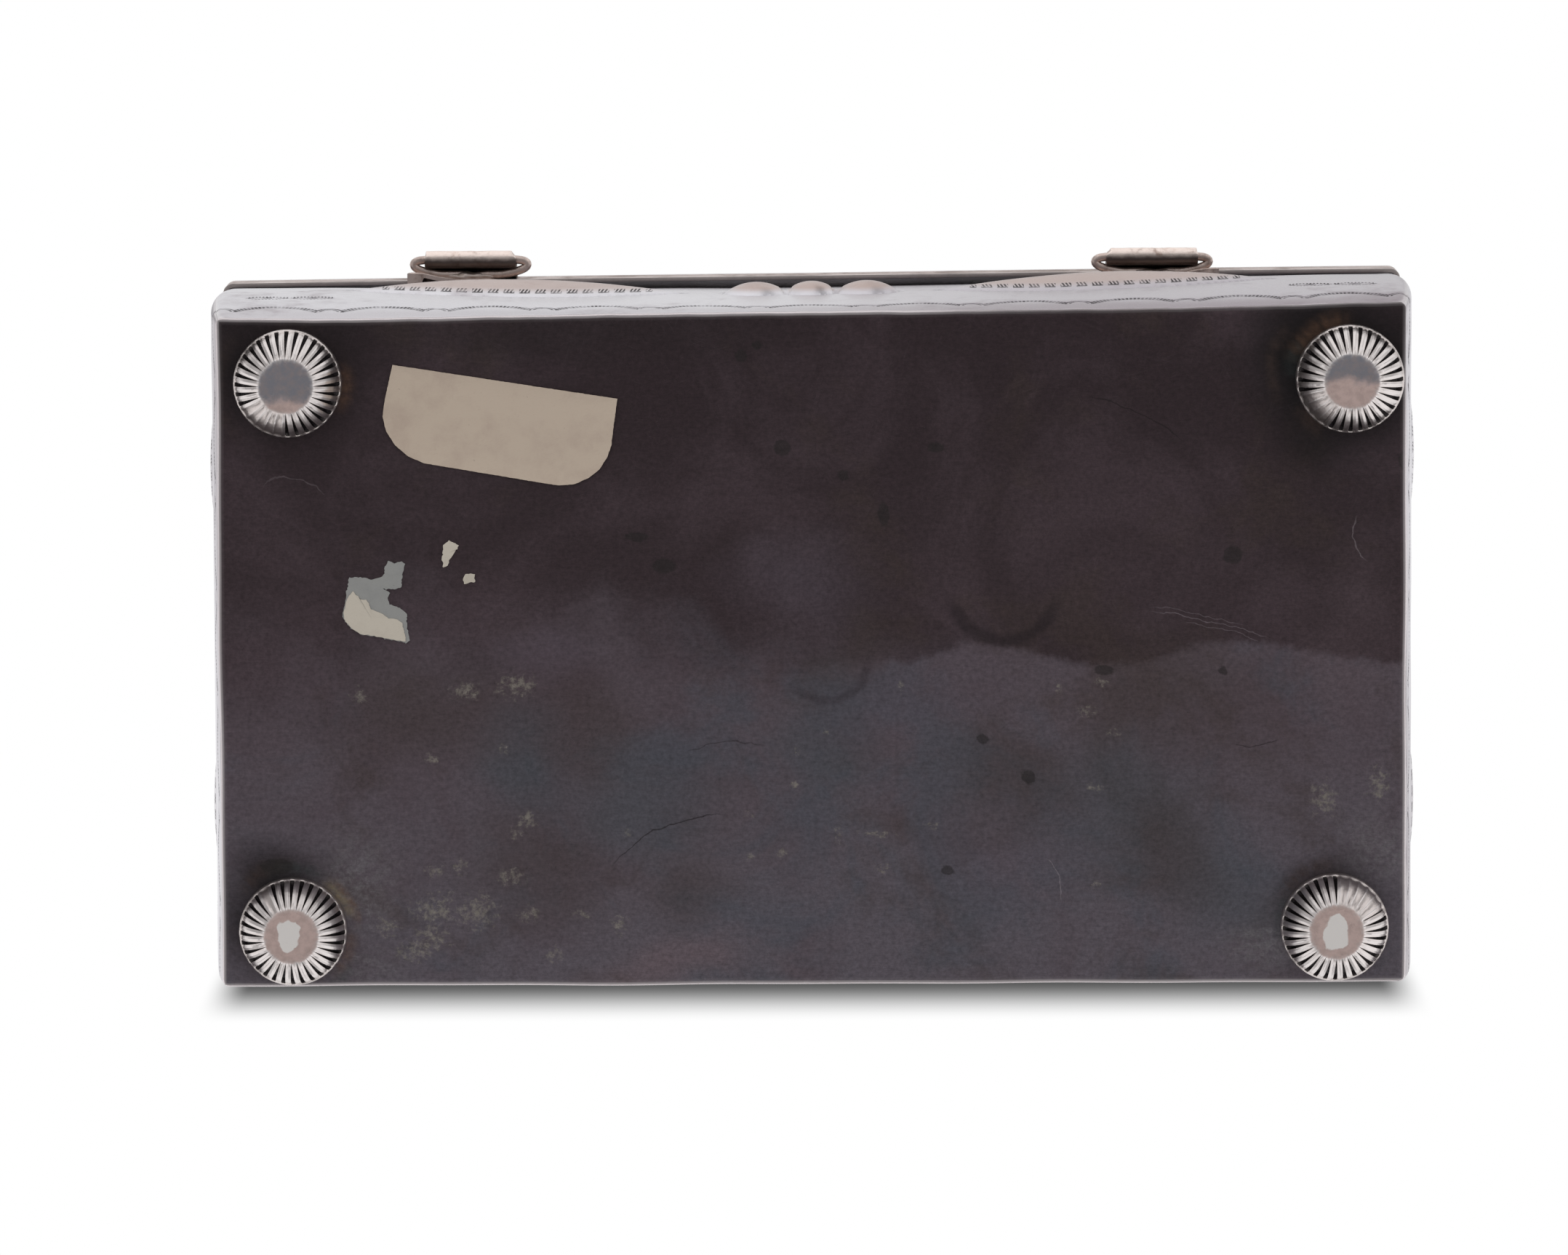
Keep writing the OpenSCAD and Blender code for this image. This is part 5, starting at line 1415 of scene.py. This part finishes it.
for side, name, soft_end in ((1, "hinge_strap_right", -1), (-1, "hinge_strap_left", 1)):
    rings = []
    for u in stations:
        thin = STRAP_T - 0.22 * (1 - math.sqrt(1 - (1 - min((STRAP_HALF - abs(u)) / 0.14, 1)) ** 2))
        line = both_sides(strap_line, thin)
        y, z = line[:, 0], line[:, 1]
        trim = (0.5 if u * soft_end > 0 else 0.12) * smooth(abs(u), STRAP_HALF - 1.2, STRAP_HALF)
        x = side * HINGE_X + u - math.copysign(1, u) * trim * smooth(y, 0.2, bend_r)
        y = y - abs(ripple(np.array(u), 6, 0.03, 40 + side)) * smooth(y, 0.3, 1.0)
        y = y - LID_SKEW * x * smooth(z, 1.0, 2.6)
        rings.append(np.stack([x, y + AXIS_Y, z + AXIS_Z], -1))
    make_piece(name + "_sheet", *lofted(rings), strap_silver_and_painted_light, "lid", "hinge_silver", [name], crease=40)

# %% [markdown]
# ## Lid
# The lid is a thin sheet raised into a low cushion with a flat brim, two leaves pushed up beside the
# inlay, and the same stamped border all round its shoulder. Its skirt is a separate strip, soldered under
# the brim. The sheet is a fine grid whose height comes from how far in from the edge a point lies. Level
# lines further in have rounder corners, as they do in raised sheet.


# %% Outlines of the lid and the bezel
def inset_of(x, y, half_x, half_y, r):
    """How far in from a round-cornered edge a point lies. The corners get rounder further in."""
    a, b = np.abs(x) - half_x + r, np.abs(y) - half_y + r
    straight = r - np.maximum(a, b)
    p, q = 4 * (a + b) - 2 * r, a ** 2 + b ** 2 - r ** 2
    turned = (np.sqrt(np.clip(p ** 2 - 28 * q, 0, None)) - p) / 14
    return np.where((a + 2 * straight > 0) & (b + 2 * straight > 0), turned, straight)


def oval_off(x, y, half_l=22.0, half_w=15.0, end_r=11.0):
    """Distance outside the oval of the bezel, which is drawn with four arcs."""
    c = half_l - end_r
    k = (c ** 2 - (half_w - end_r) ** 2) / (2 * (half_w - end_r))
    x, y = np.abs(x), np.abs(y)
    return np.where(x * k > c * (y + k), np.hypot(x - c, y) - end_r, np.hypot(x, y + k) - half_w - k)


# %% Lid sizes
LID_CORNER, LID_T, LID_CROWN, BRIM, SHOULDER = 1.2, 0.7, 3.0, 2.7, 13.0
LID_LEAF = (37.5, 26.0, 10.0)
LID_BOW = 0.2
BORDER_IN = 1.5  # the stamped border starts this far in from the edge
BARE_UV = [0.0, 200.0]  # a place that no stamp reaches, for the lid's underside
LID_HX, LID_HY = (lid_high - lid_low)[:2] / 2
SEAT_Z = box_mm("lid_skirt")[1][2]
print(f"lid {2 * LID_HX:.1f} x {2 * LID_HY:.1f} mm, its sheet from {SEAT_Z:.2f} mm up")


def bow(x, y):
    """How far the back edge of the lid swells out between the hinges."""
    return LID_BOW * smooth(y, 20, 39) * (1 - (x / LID_HX) ** 2)


# %% Lid plate mesh
px, py = filed_steps(LID_HX, NEAR, 0.42), filed_steps(LID_HY, NEAR, 0.42)
gx, gy = np.meshgrid(px, py)
x, y = round_corners(gx, gy, LID_HX, LID_HY, LID_CORNER)
inset = np.maximum(inset_of(x, y, LID_HX, LID_HY, LID_CORNER), 0)
s = np.clip((inset - BRIM) / SHOULDER, 0, 1)
rise = np.zeros_like(x)
chased = groove(oval_off(x, y) - 1.3, 0.5, 0.14)
for leaf_side in (-1, 1):
    made, off = leaf_rise(x - leaf_side * LID_LEAF[0], y, LID_LEAF[1], LID_LEAF[2], 1.0)
    rise = np.maximum(rise, made)
    chased = np.maximum(chased, groove(off - 0.35, 0.4, 0.2))
from_x, from_y = LID_HX - np.abs(x), LID_HY - np.abs(y)
border_along = np.where(from_x < from_y, y, x)
open_corner = smooth(np.abs(from_x - from_y), 1.4, 2.4)
pressed = border_press(border_along, inset - BORDER_IN) * open_corner
filed = 0.12 * (1 - np.sqrt(np.clip(1 - (1 - np.clip(inset / 0.18, 0, 1)) ** 2, 0, 1)))
form = LID_CROWN * (1 - (1 - s) ** 2) + rise
upper = SEAT_Z + LID_T + form - filed - chased - pressed + dents(x, y, 15, 0.03, 8) * smooth(inset, 2, 8)
keep = np.unique(np.r_[0:7, 7:len(py) - 7:6, len(py) - 7:len(py)])
lower = (SEAT_Z + form)[keep]
over = hand_skew(np.stack([x, y + MIDDLE_Y + bow(x, y), upper], -1))
under = hand_skew(np.stack([x[keep], y[keep] + MIDDLE_Y + bow(x[keep], y[keep]), lower], -1))
points, faces = two_faced(over, under)
blank = lower.size
lid_uv = np.concatenate([np.stack([x, y + RELIEF_Z], -1).reshape(-1, 2), np.tile(BARE_UV, (blank, 1))])
lid_marks = {"raised": np.concatenate([rise.ravel(), np.zeros(blank)]),
             "chased": np.concatenate([smooth(chased, 0.03, 0.12).ravel(), np.zeros(blank)]),
             "inset": np.concatenate([inset.ravel(), np.zeros(blank)])}
print("lid grid", over.shape[:2], "and below", under.shape[:2])


# %% Lid plate material
def lid_stamps(w, mm):
    """The border on the shoulder, the combs on the leaves and the black of the chased lines."""
    along, up, _ = sheet_place(w)
    x, y, _ = w.apart(mm)
    inset = w.painted("inset")
    middle = w.calc("SUBTRACT", y, MIDDLE_Y)
    from_x = w.calc("SUBTRACT", LID_HX, w.calc("ABSOLUTE", x))
    from_y = w.calc("SUBTRACT", LID_HY, w.calc("ABSOLUTE", middle))
    short_side = w.calc("LESS_THAN", from_x, from_y)
    side_along = w.calc("ADD", w.product(short_side, middle), w.product(w.calc("SUBTRACT", 1.0, short_side), x))
    border = w.group(BORDER, {"Along": side_along, "Up": w.calc("SUBTRACT", inset, BORDER_IN)})["Mask"]
    corner = w.step(w.calc("ABSOLUTE", w.calc("SUBTRACT", from_x, from_y)), 1.0, 2.0)
    combs = w.group(COMBS, {"Along": along, "Up": up, "Leaf Place": LID_LEAF[0],
                            "Leaf Arc": arc_of(*LID_LEAF[1:]), "Leaf Height": LID_LEAF[2]})["Mask"]
    chased = w.product(w.painted("chased"), 0.8)
    uneven = w.step(w.noise(mm, 0.35, 2.0), 0.2, 0.5)
    struck = w.product(w.largest(w.product(border, corner), combs), w.calc("ADD", w.product(uneven, 0.5), 0.5))
    return w.largest(struck, chased)


def lid_tone(w, mm, colour):
    """Grey tarnish on the brim, and warm leaves."""
    colour = w.mix(w.product(w.step(w.painted("inset"), 3.4, 1.4), 0.45), colour, srgb(150, 142, 146))
    return w.mix(w.product(w.step(w.painted("raised"), 0.1, 0.7), 0.35), colour, srgb(192, 176, 168))


lid_silver = silver("lid_silver", srgb(220, 218, 220), srgb(164, 154, 156), 0.42, 0.24, lid_stamps, cloud=0.055,
                    wear=0.55, band=lid_tone)
make_piece("lid_sheet", points, faces, lid_silver, "lid", "lid_silver", ["lid_plate"], uv=lid_uv,
           marks=lid_marks)

# %% [markdown]
# The skirt is one long strip bent round the rim. From below its edge is the warm brown line behind the
# walls, bowed outwards a little between the hinges. It is a hoop: one small section carried round
# a rectangle with round corners.

# %% Skirt
skirt_silver = silver("skirt_silver", srgb(186, 168, 162), srgb(124, 106, 98), 0.6, 0.3, cloud=0.12, wear=0.4,
                      hollow=0.5)


def round_rectangle(half_x, half_y, r, step=1.1):
    """Points and outward directions along the edge of a rectangle with round corners."""
    places, outs = [], []
    for turn, sx, sy in ((0, 1, 1), (90, -1, 1), (180, -1, -1), (270, 1, -1)):
        for a in np.radians(np.linspace(turn, turn + 90, 8)):
            places.append((sx * (half_x - r) + r * math.cos(a), sy * (half_y - r) + r * math.sin(a)))
            outs.append((math.cos(a), math.sin(a)))
        sx, sy = (-sx, sy) if turn in (0, 180) else (sx, -sy)
        goal = (sx * (half_x - r) + r * outs[-1][0], sy * (half_y - r) + r * outs[-1][1])
        count = int(math.dist(places[-1], goal) / step)
        start = places[-1]
        for k in range(1, count):
            places.append(tuple(np.array(start) + (np.array(goal) - start) * k / count))
            outs.append(outs[-1])
    return np.array(places), np.array(outs)


place, outward = round_rectangle(LID_HX, LID_HY, LID_CORNER)
walked = np.concatenate([[0], np.cumsum(np.linalg.norm(np.diff(place, axis=0), axis=1))])
SKIRT_T = 0.5
low_edge = lid_low[2] + 0.12 + ripple(walked, 22, 0.06, 61)
pushes = ripple(walked, 17, 0.04, 62)
rings = []
for k in range(len(place)):
    low, push = low_edge[k], pushes[k]
    profile = [(-SKIRT_T + 0.12, low), (-0.12, low), (-0.03, low + 0.03), (0, low + 0.12), (push, low + 1.0),
               (push, low + 2.2), (push * 0.5, low + 3.4), (0, SEAT_Z), (-SKIRT_T, SEAT_Z),
               (-SKIRT_T, low + 2.2), (-SKIRT_T, low + 0.12), (-SKIRT_T + 0.03, low + 0.03)]
    xy = place[k] + np.array([off for off, _ in profile])[:, None] * outward[k]
    xy[:, 1] += bow(xy[:, 0], xy[:, 1]) + MIDDLE_Y
    rings.append(np.concatenate([xy, np.array([z for _, z in profile])[:, None]], 1))
make_piece("lid_skirt_strip", *lofted(hand_skew(rings), hoop=True), skirt_silver, "lid", "lid_silver",
           ["lid_skirt"], crease=50)

# %% [markdown]
# ## Inlay
# The inlay can't be seen from below. It is set as such boxes have it: a domed stone in the middle
# and cut wedges of turquoise and coral round it, each in its own cell of silver strip, inside a plain
# bezel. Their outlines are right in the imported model, so each is copied, its facets are joined
# and its upper edges are rounded, as a stone ground flush has them.


# %% Softened copies
def softened(name, node, material, bevel, crease=30):
    """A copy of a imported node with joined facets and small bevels, in the node's place."""
    mesh = bpy.data.meshes.new(name)
    work = bmesh.new()
    work.from_mesh(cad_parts[node].data)
    bmesh.ops.remove_doubles(work, verts=work.verts, dist=2e-6)
    bmesh.ops.dissolve_limit(work, angle_limit=math.radians(1.0), verts=work.verts, edges=work.edges)
    work.normal_update()
    top = max(v.co.z for v in work.verts)
    sharp = [e for e in work.edges if len(e.link_faces) == 2 and e.calc_face_angle() > math.radians(crease)
             and min(v.co.z for v in e.verts) > top - 0.2 * MM - bevel * MM]
    bmesh.ops.bevel(work, geom=sharp, offset=bevel * MM, segments=3, profile=0.5, affect="EDGES",
                    clamp_overlap=True)
    bmesh.ops.recalc_face_normals(work, faces=work.faces)
    work.to_mesh(mesh)
    work.free()
    finish_piece(name, mesh, material, "lid", [node], crease=crease)


# %% Stones
def stone(name, colours, roughness, marks):
    """A polished stone. marks adds what its kind shows, and gives a colour and a height."""
    material, w, shader = new_material(name)
    mm = w.millimetres()
    cloud = w.noise(mm, 0.22, 5.0, 0.6, 0.4)
    colour = w.mix(w.step(cloud, 0.35, 0.65), colours[0], colours[1])
    colour, height = marks(w, mm, colour)
    bump = w.add("ShaderNodeBump", {"Strength": 0.5, "Distance": MM, "Height": height}).outputs[0]
    wire(w, shader, Base_Color=colour, Roughness=w.calc("ADD", roughness, w.product(cloud, 0.12)), Normal=bump)
    return material


def matrix_veins(w, mm, colour):
    """Brown matrix runs through turquoise in a broken web."""
    bent = w.add("ShaderNodeVectorMath", {0: mm, 1: w.add("ShaderNodeTexNoise", {
        "Vector": mm, "Scale": 0.5, "Detail": 3.0}).outputs["Color"]}, operation="ADD").outputs[0]
    web = w.add("ShaderNodeTexVoronoi", {"Vector": bent, "Scale": 0.42}, feature="DISTANCE_TO_EDGE").outputs[0]
    vein = w.product(w.step(web, 0.07, 0.015), w.step(w.noise(mm, 0.3, 3.0), 0.42, 0.58))
    fine = w.product(w.step(w.noise(mm, 1.8, 5.0, 0.7), 0.62, 0.7), 0.5)
    colour = w.mix(w.largest(vein, fine), colour, srgb(92, 66, 46))
    return colour, w.product(vein, -0.06)


def coral_grain(w, mm, colour):
    """Coral has faint growth lines and a few dark pits."""
    lines = w.noise(w.place(w.place(mm, turn=(0, 0, 0.6)), scale=(0.3, 2.2, 1.0)), 1.2, 4.0)
    colour = w.mix(w.product(w.step(lines, 0.5, 0.7), 0.35), colour, srgb(226, 128, 96))
    pits = w.step(w.noise(mm, 3.2, 2.0), 0.72, 0.78)
    return w.mix(w.product(pits, 0.6), colour, srgb(120, 40, 30)), w.product(pits, -0.05)


turquoise = stone("turquoise", (srgb(74, 168, 172), srgb(112, 196, 190)), 0.16, matrix_veins)
coral = stone("coral", (srgb(196, 62, 42), srgb(214, 84, 58)), 0.14, coral_grain)
inlay_silver = silver("inlay_silver", srgb(214, 210, 212), srgb(150, 140, 140), 0.4, 0.22, cloud=0.25, wear=0.5,
                      hollow=0.6)
softened("turquoise_wedges", "turquoise_stones", turquoise, 0.25)
softened("coral_wedges", "coral_stones", coral, 0.25)
softened("domed_stone", "middle_stone", turquoise, 0.3)
softened("cell_strips", "inlay_frame", inlay_silver, 0.05)
softened("bezel_strip", "inlay_bezel", inlay_silver, 0.1)

# %% [markdown]
# ## Paper
# A paper label was glued to the bottom, with two square corners and two round ones, and what is left of
# another was torn off: a grey backing, some of its face, and two scraps. Each is a thin closed sheet
# that lies on the metal, its edge a little ragged and its corners a little lifted. The label is left bare.


# %% Paper material
def paper_finish(name, face, stained):
    """Paper with fibres, soft blots and a few specks."""
    material, w, shader = new_material(name)
    mm = w.millimetres()
    fibres = w.noise(w.place(w.place(mm, turn=(0, 0, 0.4)), scale=(1.0, 3.0, 1.0)), 2.4, 4.0, 0.7)
    blot = w.noise(mm, 0.2, 5.0, 0.65)
    colour = w.mix(w.product(w.step(blot, 0.42, 0.72), 0.6), face, stained)
    colour = w.mix(w.product(w.step(fibres, 0.55, 0.7), 0.25), colour, stained)
    specks = w.product(w.step(w.noise(mm, 1.9, 3.0, 0.6), 0.7, 0.76), w.step(w.noise(mm, 0.25, 2.0), 0.5, 0.6))
    colour = w.mix(w.product(specks, 0.7), colour, srgb(92, 82, 74))
    height = w.calc("ADD", w.product(fibres, 0.02), w.product(blot, 0.05))
    bump = w.add("ShaderNodeBump", {"Strength": 0.5, "Distance": MM, "Height": height}).outputs[0]
    wire(w, shader, Base_Color=colour, Roughness=w.calc("ADD", 0.72, w.product(fibres, 0.15)), Normal=bump)
    return material


label_paper = paper_finish("label_paper", srgb(173, 158, 143), srgb(156, 139, 127))
torn_paper = paper_finish("torn_paper", srgb(178, 170, 158), srgb(156, 148, 136))
backing_paper = paper_finish("backing_paper", srgb(132, 132, 130), srgb(112, 112, 112))


# %% Label and scraps
def ragged(outline, step, amount, seed):
    """An outline with more points, each a little out of place, as torn or cut paper has."""
    rng = np.random.default_rng(seed)
    outline = np.array(outline, float)
    made = []
    for a, b in zip(outline, np.roll(outline, -1, axis=0)):
        count = max(int(math.dist(a, b) / step), 1)
        made += [a + (b - a) * k / count for k in range(count)]
    made = np.array(made)
    return made + rng.normal(0, amount, made.shape)


def paper_sheet(name, outline, low, thickness, material, curl=0.0):
    """A thin sheet of paper under the bottom plate. Its lower face is at low, and its edge curls down."""
    centre = outline.mean(axis=0)
    shares = np.linspace(0.04, 1, 12)

    def ring(share, z):
        flat = centre + (outline - centre) * share
        return np.concatenate([flat, np.full((len(flat), 1), z - curl * max(share - 0.6, 0) ** 2 / 0.16)], 1)

    rings = [ring(share, low) for share in shares] + [ring(share, low + thickness) for share in shares[::-1]]
    make_piece(name, *lofted(rings), material, "box", None, crease=50)


LABEL = [(47.9, 31.9), (22.2, 27.9), (22.7, 24.4), (22.9, 22.6), (23.4, 21.2), (24.3, 19.8), (25.6, 18.8),
         (27.2, 18.1), (29.0, 18.0), (30.4, 18.2), (44.4, 20.6), (46.2, 21.4), (47.7, 22.7), (48.7, 24.3),
         (49.1, 26.0), (48.8, 28.0)]
BACKING = [(53.1, 7.5), (51.6, 7.5), (50.4, 7.2), (49.5, 7.5), (49.0, 7.9), (49.1, 8.5), (48.6, 9.4),
           (47.9, 9.1), (47.1, 9.3), (46.7, 9.0), (47.0, 7.6), (47.1, 6.4), (47.9, 6.1), (49.3, 6.2),
           (48.4, 5.7), (48.7, 5.1), (48.5, 4.4), (47.1, 3.8), (46.5, 3.2), (46.5, 2.2), (46.4, 1.1),
           (46.2, 0.2), (46.6, -0.1), (49.9, 0.6), (51.8, 0.9), (52.9, 1.6), (53.7, 2.5), (53.9, 3.2),
           (53.6, 4.6), (53.3, 6.3)]
TORN_FACE = [(52.7, 5.9), (52.1, 5.3), (51.9, 4.95), (51.2, 4.9), (50.9, 4.5), (50.6, 3.8), (49.6, 3.4),
             (48.6, 2.8), (47.6, 2.6), (47.1, 2.2), (46.8, 1.1), (46.7, 0.05), (48.1, 0.3), (49.9, 0.65),
             (51.8, 0.95), (52.9, 1.65), (53.6, 2.5), (53.8, 3.4), (53.5, 4.6), (53.1, 5.4)]
SCRAP = [(41.6, 11.7), (40.5, 11.1), (40.9, 10.4), (41.5, 9.6), (41.8, 8.7), (42.4, 8.7), (42.3, 10.5),
         (42.2, 11.3)]
DOT = [(39.8, 7.8), (38.7, 7.85), (38.65, 6.9), (39.9, 6.7), (40.1, 7.3)]
UNDER = plate_low[2]
paper_sheet("label", ragged(LABEL, 0.25, 0.012, 71), UNDER - 0.1, 0.14, label_paper, curl=0.12)
paper_sheet("torn_face", ragged(TORN_FACE, 0.2, 0.03, 73), UNDER - 0.14, 0.1, torn_paper)
paper_sheet("paper_scrap", ragged(SCRAP, 0.2, 0.05, 74), UNDER - 0.07, 0.12, torn_paper)
paper_sheet("paper_dot", ragged(DOT, 0.2, 0.05, 75), UNDER - 0.06, 0.1, torn_paper)
edge_points = ragged(BACKING, 0.2, 0.04, 72)
levels = [np.concatenate([edge_points, np.full((len(edge_points), 1), z)], 1)
          for z in (UNDER - 0.05, UNDER + 0.04)]
make_piece("torn_backing", *lofted(levels), backing_paper, "box", None, crease=50)
